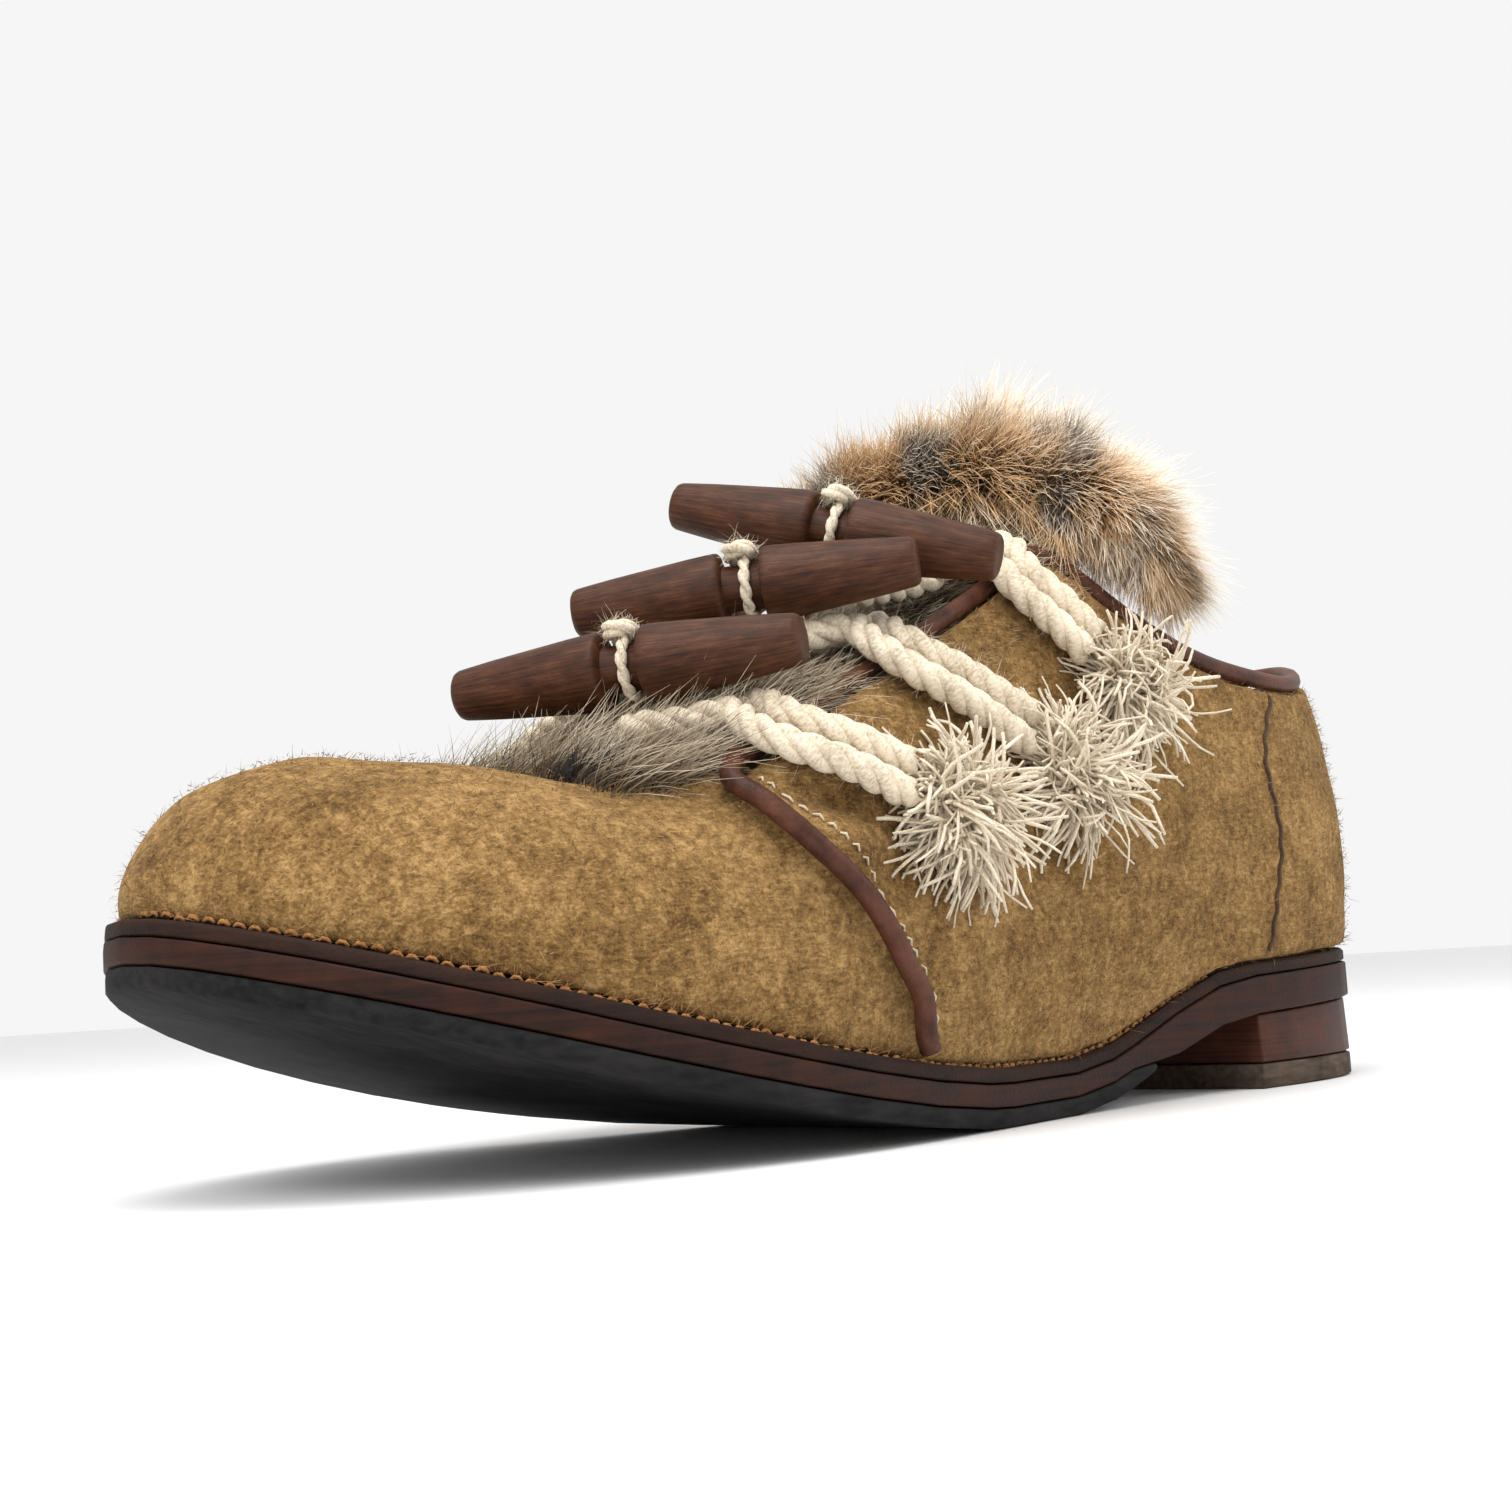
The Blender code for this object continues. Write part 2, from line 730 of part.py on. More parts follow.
def tube(name, points, radius, collection, material, radii=None, sides=2):
    """Tube with closed ends along a line of last points."""
    curve = bpy.data.curves.new(name, "CURVE")
    curve.dimensions = "3D"
    curve.bevel_depth = radius
    curve.bevel_resolution = sides
    curve.use_fill_caps = True
    spline = curve.splines.new("POLY")
    spline.points.add(len(points) - 1)
    for i, point in enumerate(points):
        spline.points[i].co = (*world(*point), 1.0)
        spline.points[i].radius = 1.0 if radii is None else radii[i]
    piece = bpy.data.objects.new(name, curve)
    collection.objects.link(piece)
    curve.materials.append(material)
    return piece


def make_sole(parts, looks):
    """Rubber half sole, leather outsole, welt, heel and insole, from the ground up."""
    rubber_edge = SOLE_EDGE.inset(0.0002)
    loft_solid(
        "rubber_half_sole",
        [
            sole_layer(SOLE_EDGE.inset(0.0008), tread_height, start=RUBBER_BACK),
            sole_layer(rubber_edge, lambda a: tread_height(a) + 0.2 * rubber_seat(a), start=RUBBER_BACK),
            sole_layer(rubber_edge, lambda a: tread_height(a) + rubber_seat(a) - GAP, start=RUBBER_BACK),
        ],
        parts,
        looks["rubber"],
    )
    under = lambda a: tread_height(a) + rubber_seat(a)
    over = lambda a: tread_height(a) + RUBBER + GAP + OUTSOLE
    loft_solid(
        "leather_outsole",
        [sole_layer(SOLE_EDGE, under), sole_layer(SOLE_EDGE, over)],
        parts,
        looks["sole_leather"],
    )
    inner = FEATHER.inset(FELT + 0.0016)
    welt_edge = SOLE_EDGE.inset(0.0003)
    low = lambda a: tread_height(a) + RUBBER + OUTSOLE + 2 * GAP
    ring_solid(
        "welt",
        [
            outline_ring(welt_edge, low),
            outline_ring(welt_edge, lambda a: low(a) + 0.75 * WELT),
            outline_ring(welt_edge.inset(0.0006), lambda a: low(a) + WELT),
            outline_ring(inner, lambda a: low(a) + WELT),
            outline_ring(inner, low),
        ],
        parts,
        looks["welt_leather"],
    )
    stack_plan = SOLE_EDGE.inset(HEEL_INSET)
    lift_plan = SOLE_EDGE.inset(HEEL_INSET * 0.6)
    loft_solid(
        "top_lift",
        [
            sole_layer(lift_plan.inset(0.0005), lambda a: 0.0, end=HEEL_LENGTH),
            sole_layer(lift_plan, lambda a: 0.0006, end=HEEL_LENGTH),
            sole_layer(lift_plan, lambda a: TOP_LIFT, end=HEEL_LENGTH),
        ],
        parts,
        looks["lift"],
    )
    loft_solid(
        "heel_stack",
        [
            sole_layer(lift_plan, lambda a: TOP_LIFT + GAP, end=HEEL_LENGTH),
            sole_layer(stack_plan, lambda a: tread_height(a) - GAP, end=HEEL_LENGTH),
        ],
        parts,
        looks["heel_leather"],
    )
    board = inner.inset(2 * GAP)
    loft_solid(
        "insole",
        [
            sole_layer(board, lambda a: over(a) + GAP),
            sole_layer(board, lambda a: over(a) + GAP + INSOLE),
        ],
        parts,
        looks["insole_leather"],
    )


def quarter_edge_line(count, inset):
    """Line inside the bound front edge of a quarter in side view, as along and height."""
    rows = [(row.along * SOLE_LENGTH, row.height * COLLAR_HEIGHT) for row in QUARTER_EDGE]
    line = open_spline(rows, count)
    ahead = np.gradient(line, axis=0)
    ahead /= np.linalg.norm(ahead, axis=1)[:, None]
    return line + inset * np.stack([-ahead[:, 1], ahead[:, 0]], axis=1)


def make_upper(parts, cutters, looks):
    """Felt upper: one hollow wall, with the quarters' step laid over the vamp."""
    ring = upper_columns()
    upper = grid_sheet("upper", upper_grid(ring), True, parts, looks["felt"])
    thicken(upper, FELT)

    behind = upper_columns(first=True, last=THROAT_FRONT + 0.014)
    grid = upper_grid(behind)
    normals = grid_normals(grid, False)
    for edge, beside in ((0, 1), (-1, -2)):
        inward = grid[:, beside] - grid[:, edge]
        grid[:, edge] += inward * (GAP / np.linalg.norm(inward, axis=1))[:, None]
    corner = np.array([THROAT_CORNER - 0.001, float(rim_height(THROAT_CORNER))])
    away = np.linalg.norm(grid[..., [0, 2]] - corner, axis=2)
    lift = QUARTER_STEP + CORNER_LIFT * np.exp(-((away / 0.013) ** 2))
    outer = grid + normals * lift[..., None]
    outer[:, 0, 2] = np.maximum(outer[:, 0, 2], grid[:, 0, 2])
    inner = grid - normals * FELT / 2
    quarters = block_between("quarter_layer", outer, inner, cutters)
    as_guide(quarters)

    edge = quarter_edge_line(24, 2 * BINDING_RADIUS + GAP)
    above = (0.640 * SOLE_LENGTH, 2.2 * COLLAR_HEIGHT)
    outline = [*edge, above, (-0.10 * SOLE_LENGTH, above[1]), (-0.10 * SOLE_LENGTH, -0.02), (edge[0][0], -0.02)]
    bm = bmesh.new()
    face = bm.faces.new([bm.verts.new(world(a, -0.12, h)) for a, h in outline])
    grown = bmesh.ops.extrude_face_region(bm, geom=[face])
    moved = [item for item in grown["geom"] if isinstance(item, bmesh.types.BMVert)]
    bmesh.ops.translate(bm, verts=moved, vec=(0, 0.24, 0))
    blade = add_mesh("quarter_outline", bm, cutters)
    as_guide(blade)
    combine(quarters, blade, "INTERSECT")
    combine(upper, quarters, "UNION")
    return upper


def rim_frame(side, along):
    """Edge of the upper at a place: its point, the wall's outward normal, and the way up the wall."""
    rise = float(rim_rise(along))
    point, normal = surface_frame(side, along, rise)
    up = column_point(side, along, rise) - column_point(side, along, rise - 0.02)
    return point, normal, up / np.linalg.norm(up)


def binding_line():
    """Middle of the leather binding, from one quarter's foot over the collar to the other's."""
    halves = {}
    for side in (LATERAL, MEDIAL):
        line = []
        for along, height in quarter_edge_line(15, BINDING_RADIUS)[1:]:
            if height > rim_height(along) - BINDING_RADIUS:
                break
            point, normal = surface_frame(side, along, float(rise_at(along, height)))
            line.append(point + normal * (BINDING_RADIUS + 2 * GAP + 0.5 * QUARTER_STEP))
        for along in np.linspace(THROAT_CORNER - 0.006, HEEL_FAN, 22):
            point, normal, up = rim_frame(side, along)
            clear = BINDING_RADIUS + 3 * GAP + CORNER_LIFT * ease((along - 0.175) / 0.015)
            line.append(point + normal * (QUARTER_STEP - FELT) / 2 + up * clear)
        for along in FEATHER.start + (HEEL_FAN - FEATHER.start) * np.array([0.75, 0.5, 0.28, 0.12, 0.03]):
            point, normal, up = rim_frame(side, along)
            line.append(point + normal * (QUARTER_STEP - FELT) / 2 + up * (BINDING_RADIUS + 2 * GAP))
        halves[side] = line
    return open_spline(halves[LATERAL] + halves[MEDIAL][::-1], 92)


def tongue_grid(depth):
    """Grid of the tongue: across the throat at stations from its front end to its top."""
    grid = []
    for along in np.linspace(TONGUE_FRONT, TONGUE_TOP, 15):
        rim = float(rim_rise(min(along, THROAT_CORNER)))
        full = float(fullness_at(along / SOLE_LENGTH))
        lean = (1 - rim**full) ** (1 / full)
        lap = TONGUE_LAP * (1 - 0.75 * ease((FACING_TOP + 0.020 - along) / 0.025))
        hollow = TOGGLE_HOLLOW * math.exp(-(((along - 0.143) / 0.018) ** 2))
        inward = [(1 - (lean * share) ** full) ** (1 / full) for share in (1.0, 0.72, 0.45, 0.15)]
        rises = [rim - lap, *inward]
        column = []
        for side, order in ((LATERAL, rises), (MEDIAL, rises[::-1])):
            for rise in order:
                point, normal = surface_frame(side, along, min(rise, 0.99))
                near = math.hypot(along - 0.201, point[1] - 0.004) / 0.0085
                raised = (TONGUE_BULGE + FELT + TONGUE_CLEARANCE) * math.exp(-(near**2))
                column.append(point + normal * (raised - depth - hollow * (rise >= rim)))
        grid.append(column)
    return np.array(grid)


def grow_locks(bm, faces, lengths, taper, droop):
    """Draws each face out into a curved, tapering lock of fur or yarn with its own length."""
    for step in range(2):
        grown = bmesh.ops.extrude_discrete_faces(bm, faces=faces)["faces"]
        for number, (face, length) in enumerate(zip(grown, lengths)):
            centre = face.calc_center_median()
            reach = length * (0.42 if step == 0 else 0.58) * (0.82 + 0.18 * math.sin(2.4 * number))
            sway = Vector((0.30 * math.sin(1.9 * number), 0.30 * math.cos(1.3 * number), -droop * (step + 0.4)))
            way = (face.normal + sway).normalized()
            for corner in face.verts:
                corner.co = centre + (corner.co - centre) * taper + way * reach
        faces = grown


def make_tongue(parts, looks):
    """Fur tongue under the facings, and the ruff that its top folds out into."""
    under = FELT + TONGUE_CLEARANCE
    block_between("fur_tongue", tongue_grid(under), tongue_grid(under + TONGUE), parts, looks["fur"])
    rows = [(row.along * SOLE_LENGTH, row.across * SOLE_LENGTH, row.height * COLLAR_HEIGHT) for row in RUFF]
    middle = open_spline(rows, 11)
    thick = np.interp(np.linspace(0, 1, 11), np.linspace(0, 1, len(RUFF)), [row.thick for row in RUFF])
    bm = bmesh.new()
    rings = []
    for place, run, share in zip(middle, np.gradient(middle, axis=0), thick):
        run = run / np.linalg.norm(run)
        back = np.cross(run, [0.0, 0.0, 1.0])
        back /= np.linalg.norm(back)
        high = np.cross(back, run)
        ring = []
        for turn in np.arange(8) * math.pi / 4:
            spot = place + RUFF_RADIUS * share * (math.cos(turn) * back + 0.62 * math.sin(turn) * high)
            ring.append(bm.verts.new(world(*spot)))
        rings.append(ring)
    bands = []
    for ring, following in zip(rings, rings[1:]):
        for k in range(8):
            bands.append(bm.faces.new((ring[k], ring[(k + 1) % 8], following[(k + 1) % 8], following[k])))
    bm.faces.new(rings[0])
    bm.faces.new(rings[-1][::-1])
    bmesh.ops.recalc_face_normals(bm, faces=bm.faces)
    bm.normal_update()
    upward = [face for number, face in enumerate(bands) if face.normal.z > 0.30 and number % 2 == 0]
    grow_locks(bm, upward, [RUFF_LOCK] * len(upward), 0.62, 0.10)
    add_mesh("fur_ruff", bm, parts, looks["fur"])


def toggle_ends(row):
    """Toe end and heel end of a toggle, moved along their line to the toggle's real length."""
    toe = np.array([row.toe_along * SOLE_LENGTH, row.toe_across * SOLE_LENGTH, row.toe_height * COLLAR_HEIGHT])
    heel = np.array([row.heel_along * SOLE_LENGTH, row.heel_across * SOLE_LENGTH, row.heel_height * COLLAR_HEIGHT])
    middle = (toe + heel) / 2
    way = (toe - heel) / np.linalg.norm(toe - heel)
    return middle + way * TOGGLE_LENGTH / 2, middle - way * TOGGLE_LENGTH / 2


def make_toggles(parts, looks):
    """Three turned toggles, each a double taper with a grooved waist."""
    outer = [(row.along, row.radius * TOGGLE_RADIUS) for row in TOGGLE_PROFILE]
    neck = [(0.4445, WAIST_RADIUS), (0.5, 0.96 * WAIST_RADIUS)]
    half = outer + neck
    profile = [(0.0, 0.0)] + half + [(1 - along, radius) for along, radius in half[-2::-1]] + [(1.0, 0.0)]
    mesh = bpy.data.meshes.new("toggle_profile")
    points = [(radius, 0.0, TOGGLE_LENGTH * (0.5 - along)) for along, radius in profile]
    mesh.from_pydata(points, [(i, i + 1) for i in range(len(points) - 1)], [])
    mesh.materials.append(looks["wood"])
    for number, row in enumerate(TOGGLES, start=1):
        toe, heel = (world(*end) for end in toggle_ends(row))
        toggle = bpy.data.objects.new(f"toggle_{number}", mesh)
        parts.objects.link(toggle)
        toggle.location = (toe + heel) / 2
        toggle.rotation_mode = "QUATERNION"
        toggle.rotation_quaternion = (toe - heel).to_track_quat("Z", "Y")
        turn = toggle.modifiers.new("turned", "SCREW")
        turn.axis = "Z"
        turn.angle = math.tau
        turn.steps = 10
        turn.render_steps = 10
        turn.use_merge_vertices = True
        turn.merge_threshold = 0.00001
        turn.use_smooth_shade = True


def rope_on_upper(side, row):
    """Route of a rope from its tuft up the quarter and over the facing's edge, with outward ways."""
    proud = QUARTER_STEP + ROPE_RADIUS + 4 * GAP
    rim_along = row.rim_along * SOLE_LENGTH
    tuft_along = row.tuft_along * SOLE_LENGTH
    tuft_height = row.tuft_height * COLLAR_HEIGHT
    point, normal, up = rim_frame(side, rim_along)
    long = np.linalg.norm(point - tuft_seat(side, row)[0])
    line = []
    for share in (TUFT_RADIUS / long + 0.05, 0.45, 0.70, 0.90):
        along = tuft_along + (rim_along - tuft_along) * share
        height = tuft_height + (float(rim_height(rim_along)) - tuft_height) * share
        place, out = surface_frame(side, along, float(rise_at(along, height)))
        line.append((place + out * proud, out))
    line.append((point + normal * proud + up * 0.0025, normal))
    over = 2 * BINDING_RADIUS + ROPE_RADIUS + 12 * GAP
    line.append((point + normal * 0.7 * ROPE_RADIUS + up * over, (normal + 1.2 * up) / 1.56))
    return line


def doubled(route, apart, count):
    """Two strands beside a route, joined by a bend at its end; returns them and the middle line."""
    both = open_spline([[*point, *(0.001 * np.asarray(out))] for point, out in route], count)
    middle = both[:, :3]
    run = np.gradient(middle, axis=0)
    side = np.cross(run, both[:, 3:])
    side /= np.linalg.norm(side, axis=1)[:, None]
    run /= np.linalg.norm(run, axis=1)[:, None]
    apart = (apart(middle) if callable(apart) else np.full(count, apart))[:, None]
    reach = float(apart[-1, 0])
    turns = np.linspace(0.5, math.pi - 0.5, 4)
    bend = [middle[-1] + reach * (side[-1] * math.cos(t) + run[-1] * math.sin(t)) for t in turns]
    return np.array([*(middle + side * apart), *bend, *(middle - side * apart)[::-1]]), middle


def make_ropes(parts, looks):
    """Doubled rope loops: the outer ones lie under the toggles, the inner ones go over their waists."""
    apart = 1.10 * ROPE_RADIUS
    below = TOGGLE_RADIUS + ROPE_RADIUS + 4 * GAP
    reach = WAIST_RADIUS + SQUEEZED_ROPE + 3 * GAP
    for number, row in enumerate(TOGGLES, start=1):
        toe, heel = toggle_ends(row)
        waist = (toe + heel) / 2
        axis = (toe - heel) / np.linalg.norm(toe - heel)
        far = np.cross(axis, [0.0, 0.0, 1.0])
        far /= np.linalg.norm(far)
        far = far if far[1] > 0 else -far
        high = np.cross(far, axis)
        high = high if high[2] > 0 else -high

        route = rope_on_upper(LATERAL, row)
        way = route[-1][0] - waist
        for share, aside in ((0.55, 0.80), (0.14, 0.14)):
            aside = aside * (way @ far)
            depth = max(ROPE_RADIUS, math.sqrt(max(below**2 - aside**2, 0.0))) + 2 * GAP * share
            route.append((waist + share * (way @ axis) * axis + aside * far - high * depth, high))
        line, middle = doubled(route, apart, 13)
        tube(f"rope_lateral_{number}", line, ROPE_RADIUS, parts, looks["rope"])

        def squeeze(places, wide, narrow, waist=waist):
            """Full rope away from the waist, and squeezed rope in its groove."""
            near = np.linalg.norm(places - waist, axis=1)
            return narrow + (wide - narrow) * np.clip((near - 0.0090) / 0.006, 0, 1)

        route = rope_on_upper(MEDIAL, row)
        route.append((waist + 0.95 * (below + ROPE_RADIUS) * far + 0.5 * reach * high, high))
        for turn in (0.85, 1.20, 1.55, 1.90):
            out = math.cos(turn) * far + math.sin(turn) * high
            route.append((waist + reach * out, out))
        line, middle = doubled(route, lambda places: squeeze(places, apart, 1.04 * SQUEEZED_ROPE), 17)
        radii = squeeze(middle, 1.0, SQUEEZED_ROPE / ROPE_RADIUS)
        bends = [radii[-1]] * (len(line) - 2 * len(radii))
        tube(f"rope_medial_{number}", line, ROPE_RADIUS, parts, looks["rope"], radii=[*radii, *bends, *radii[::-1]])


def tuft_seat(side, row):
    """Place and outward normal of the last under the middle of a tuft."""
    along = row.tuft_along * SOLE_LENGTH
    height = row.tuft_height * COLLAR_HEIGHT
    return surface_frame(side, along, float(rise_at(along, height)))


def tuft_reach(face, centre, others):
    """Length of one strip of a tuft: short toward a neighbour that it would meet."""
    length = TUFT_LENGTH
    for other in others:
        way = other - centre
        if face.normal.dot(way.normalized()) > 0.30:
            length = min(length, way.length / 2 - TUFT_RADIUS - 4 * GAP)
    return length


def make_tufts(parts, looks):
    """Frayed rope ends, sewn down on the quarters as flat knots with strips of yarn all round."""
    for side, word in ((LATERAL, "lateral"), (MEDIAL, "medial")):
        centres = [world(*tuft_seat(side, row)[0]) for row in TOGGLES]
        for number, row in enumerate(TOGGLES, start=1):
            point, normal = tuft_seat(side, row)
            rim = rim_frame(side, row.rim_along * SOLE_LENGTH)[0]
            centre = point + normal * (QUARTER_STEP + 2 * GAP + TUFT_HEIGHT / 2)
            out = (world(*(point + normal)) - world(*point)).normalized()
            toward_rope = (world(*rim) - world(*point)).normalized()
            place = Matrix.Translation(world(*centre)) @ out.to_track_quat("Z", "Y").to_matrix().to_4x4()
            bm = bmesh.new()
            bmesh.ops.create_cone(
                bm, cap_ends=True, segments=12, radius1=TUFT_RADIUS, radius2=0.72 * TUFT_RADIUS,
                depth=TUFT_HEIGHT, matrix=place,
            )
            bm.normal_update()
            strips = [
                face for face in bm.faces
                if len(face.verts) == 4 and face.normal.dot(toward_rope) < 0.45
            ]
            others = [centre for centre in centres if (centre - centres[number - 1]).length > TUFT_RADIUS]
            lengths = [tuft_reach(face, centres[number - 1], others) for face in strips]
            grow_locks(bm, strips, lengths, 0.80, 0.12)
            add_mesh(f"tuft_{word}_{number}", bm, parts, looks["rope"])


def main():
    """Builds every piece of the shoe."""
    parts, cutters = start_scene()
    looks = {
        "felt": finish("ochre wool felt", (0.34, 0.22, 0.085), 0.95),
        "rubber": finish("dark rubber", (0.035, 0.036, 0.038), 0.75),
        "sole_leather": finish("sole leather", (0.075, 0.032, 0.022), 0.55),
        "welt_leather": finish("welt leather", (0.060, 0.030, 0.022), 0.60),
        "heel_leather": finish("stacked heel leather", (0.150, 0.060, 0.035), 0.50),
        "lift": finish("heel rubber", (0.170, 0.125, 0.095), 0.70),
        "insole_leather": finish("insole leather", (0.300, 0.190, 0.110), 0.60),
        "fur": finish("rabbit fur", (0.300, 0.215, 0.140), 0.90),
        "binding": finish("chestnut binding leather", (0.100, 0.040, 0.022), 0.45),
        "rope": finish("natural cotton rope", (0.720, 0.640, 0.500), 0.90),
        "wood": finish("dark stained wood", (0.070, 0.028, 0.017), 0.35),
    }
    make_sole(parts, looks)
    make_upper(parts, cutters, looks)
    make_tongue(parts, looks)
    tube("edge_binding", binding_line(), BINDING_RADIUS, parts, looks["binding"], sides=1)
    make_toggles(parts, looks)
    make_ropes(parts, looks)
    make_tufts(parts, looks)


main()
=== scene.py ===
"""Looks of a left felt shoe with a fur tongue, wooden toggles and cotton rope loops.

The frame gives the shoe's solids in metres. The toe points to -X, the lateral side to -Y and the
shoe stands on z = 0. Each class below dresses one sub-assembly of the shoe.
"""

import logging
import math
from dataclasses import dataclass, field
from enum import Enum

import bmesh
import bpy
import numpy as np
from mathutils import Matrix, Vector
from mathutils.bvhtree import BVHTree

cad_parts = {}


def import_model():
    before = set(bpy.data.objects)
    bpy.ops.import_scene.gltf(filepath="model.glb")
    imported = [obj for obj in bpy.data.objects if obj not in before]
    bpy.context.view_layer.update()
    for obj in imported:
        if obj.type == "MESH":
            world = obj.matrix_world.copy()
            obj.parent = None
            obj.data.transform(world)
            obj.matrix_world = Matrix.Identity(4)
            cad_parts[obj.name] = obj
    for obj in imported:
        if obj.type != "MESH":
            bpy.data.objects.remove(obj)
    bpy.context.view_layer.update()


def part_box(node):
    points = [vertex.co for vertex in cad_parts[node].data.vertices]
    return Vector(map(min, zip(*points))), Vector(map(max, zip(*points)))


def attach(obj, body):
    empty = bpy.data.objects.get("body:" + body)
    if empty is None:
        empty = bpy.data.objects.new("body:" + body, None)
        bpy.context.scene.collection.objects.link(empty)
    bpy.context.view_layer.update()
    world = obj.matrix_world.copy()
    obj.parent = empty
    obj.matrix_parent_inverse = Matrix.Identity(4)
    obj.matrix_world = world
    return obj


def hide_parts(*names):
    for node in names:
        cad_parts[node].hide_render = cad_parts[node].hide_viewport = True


LOG = logging.getLogger("felt_shoe")
BODY = "root"
UV_PER_METRE = 10.0
UV_SHIFT = 0.37


class Side(Enum):
    """The shoe's two sides, with the sign of Y on each."""

    LATERAL = -1.0
    MEDIAL = 1.0


Triple = tuple[float, float, float]
Colour = Triple
Socket = bpy.types.NodeSocket


class Graph:
    """A material's node graph, with short calls for the nodes that the finishes use."""

    def __init__(self, name: str) -> None:
        """Makes an empty Principled material.

        Args:
            name: The finish's plain name.
        """
        self.material = bpy.data.materials.new(name)
        self.material.use_nodes = True
        self.tree = self.material.node_tree
        self.shader = self.tree.nodes["Principled BSDF"]
        self.object_place = self.tree.nodes.new("ShaderNodeTexCoord").outputs["Object"]

    def set(self, gloss: float | None = None, **values: float | Colour) -> None:
        """Sets constant values on the shader's own sockets.

        Args:
            gloss: Specular level, or None for the shader's own.
            values: The other sockets' values by name, with underscores for spaces.
        """
        for name, value in values.items():
            socket = self.shader.inputs[name.replace("_", " ")]
            socket.default_value = (*value, 1.0) if isinstance(value, tuple) else value
        if gloss is not None:
            self.shader.inputs["Specular IOR Level"].default_value = gloss

    def link(self, source: Socket, socket: Socket) -> None:
        """Joins an output to an input."""
        self.tree.links.new(source, socket)

    def feed(self, value: Socket | float, socket: Socket) -> None:
        """Links an input to a source, or gives it a constant.

        Args:
            value: The source or the constant.
            socket: The input.
        """
        if isinstance(value, Socket):
            self.link(value, socket)
        else:
            socket.default_value = value

    def scaled(self, scale: Triple, turn: Triple = (0, 0, 0), place: Socket | None = None) -> Socket:
        """A stretched or turned copy of the coordinates.

        Args:
            scale: Factor on each axis.
            turn: Rotation in radians.
            place: Coordinates to start from, or the object's own.

        Returns:
            The new coordinates.
        """
        node = self.tree.nodes.new("ShaderNodeMapping")
        node.inputs["Scale"].default_value = scale
        node.inputs["Rotation"].default_value = turn
        self.link(place or self.object_place, node.inputs["Vector"])
        return node.outputs["Vector"]

    def noise(self, scale: float, detail: float = 3.0, rough: float = 0.55, distort: float = 0.0,
              place: Socket | None = None) -> Socket:
        """A noise value.

        Args:
            scale: Features per metre.
            detail: Octaves.
            rough: Strength of the finer octaves.
            distort: Swirl.
            place: Coordinates, or the object's own.

        Returns:
            The factor output.
        """
        node = self.tree.nodes.new("ShaderNodeTexNoise")
        node.inputs["Scale"].default_value = scale
        node.inputs["Detail"].default_value = detail
        node.inputs["Roughness"].default_value = rough
        node.inputs["Distortion"].default_value = distort
        self.link(place or self.object_place, node.inputs["Vector"])
        return node.outputs["Fac"]

    def ramp(self, value: Socket, stops: list[tuple[float, Colour]]) -> Socket:
        """Colours along a value.

        Args:
            value: The factor.
            stops: Places and colours, at least two.

        Returns:
            The colour output.
        """
        node = self.tree.nodes.new("ShaderNodeValToRGB")
        for number, (place, colour) in enumerate(stops):
            while len(node.color_ramp.elements) <= number:
                node.color_ramp.elements.new(place)
            node.color_ramp.elements[number].position = place
            node.color_ramp.elements[number].color = (*colour, 1.0)
        self.link(value, node.inputs["Fac"])
        return node.outputs["Color"]

    def mix(self, factor: Socket | float, first: Socket, second: Socket, blend: str = "MIX") -> Socket:
        """Mixes two colours.

        Args:
            factor: Share of the second colour.
            first: First colour.
            second: Second colour.
            blend: Blending mode.

        Returns:
            The mixed colour.
        """
        node = self.tree.nodes.new("ShaderNodeMix")
        node.data_type = "RGBA"
        node.blend_type = blend
        self.feed(factor, node.inputs[0])
        self.link(first, node.inputs[6])
        self.link(second, node.inputs[7])
        return node.outputs[2]

    def math(self, operation: str, first: Socket | float,
             second: Socket | float = 0.0, third: float = 0.0) -> Socket:
        """A sum, product or other step on values.

        Args:
            operation: Name of the step.
            first: First value.
            second: Second value.
            third: Third value, for the steps that have one.

        Returns:
            The value output.
        """
        node = self.tree.nodes.new("ShaderNodeMath")
        node.operation = operation
        node.inputs[2].default_value = third
        self.feed(first, node.inputs[0])
        self.feed(second, node.inputs[1])
        return node.outputs[0]

    def blend(self, first: Socket, share: float, second: Socket, rest: float) -> Socket:
        """A weighted sum of two values.

        Args:
            first: First value.
            share: Its weight.
            second: Second value.
            rest: The second value's weight.

        Returns:
            The value output.
        """
        return self.math("ADD", self.math("MULTIPLY", first, share), self.math("MULTIPLY", second, rest))

    def bump(self, height: Socket, distance: float, strength: float = 1.0) -> None:
        """Adds a bump to the shader, on top of any that is there.

        Args:
            height: The bump's height, from 0 to 1.
            distance: Depth in metres.
            strength: Share of the bump that shows.
        """
        node = self.tree.nodes.new("ShaderNodeBump")
        node.inputs["Distance"].default_value = distance
        node.inputs["Strength"].default_value = strength
        self.link(height, node.inputs["Height"])
        if self.shader.inputs["Normal"].links:
            self.link(self.shader.inputs["Normal"].links[0].from_socket, node.inputs["Normal"])
        self.link(node.outputs["Normal"], self.shader.inputs["Normal"])

    def colour(self, source: Socket) -> None:
        """Gives the shader its colour."""
        self.link(source, self.shader.inputs["Base Color"])

    def attribute(self, name: str) -> Socket:
        """The value of one of the piece's own attributes.

        Args:
            name: The attribute's name.

        Returns:
            The value output.
        """
        node = self.tree.nodes.new("ShaderNodeAttribute")
        node.attribute_name = name
        return node.outputs["Fac"]

    def along_piece(self) -> Socket:
        """The piece's own UV map.

        Returns:
            Coordinates along the piece and round it.
        """
        node = self.tree.nodes.new("ShaderNodeUVMap")
        node.uv_map = "along"
        return node.outputs["UV"]


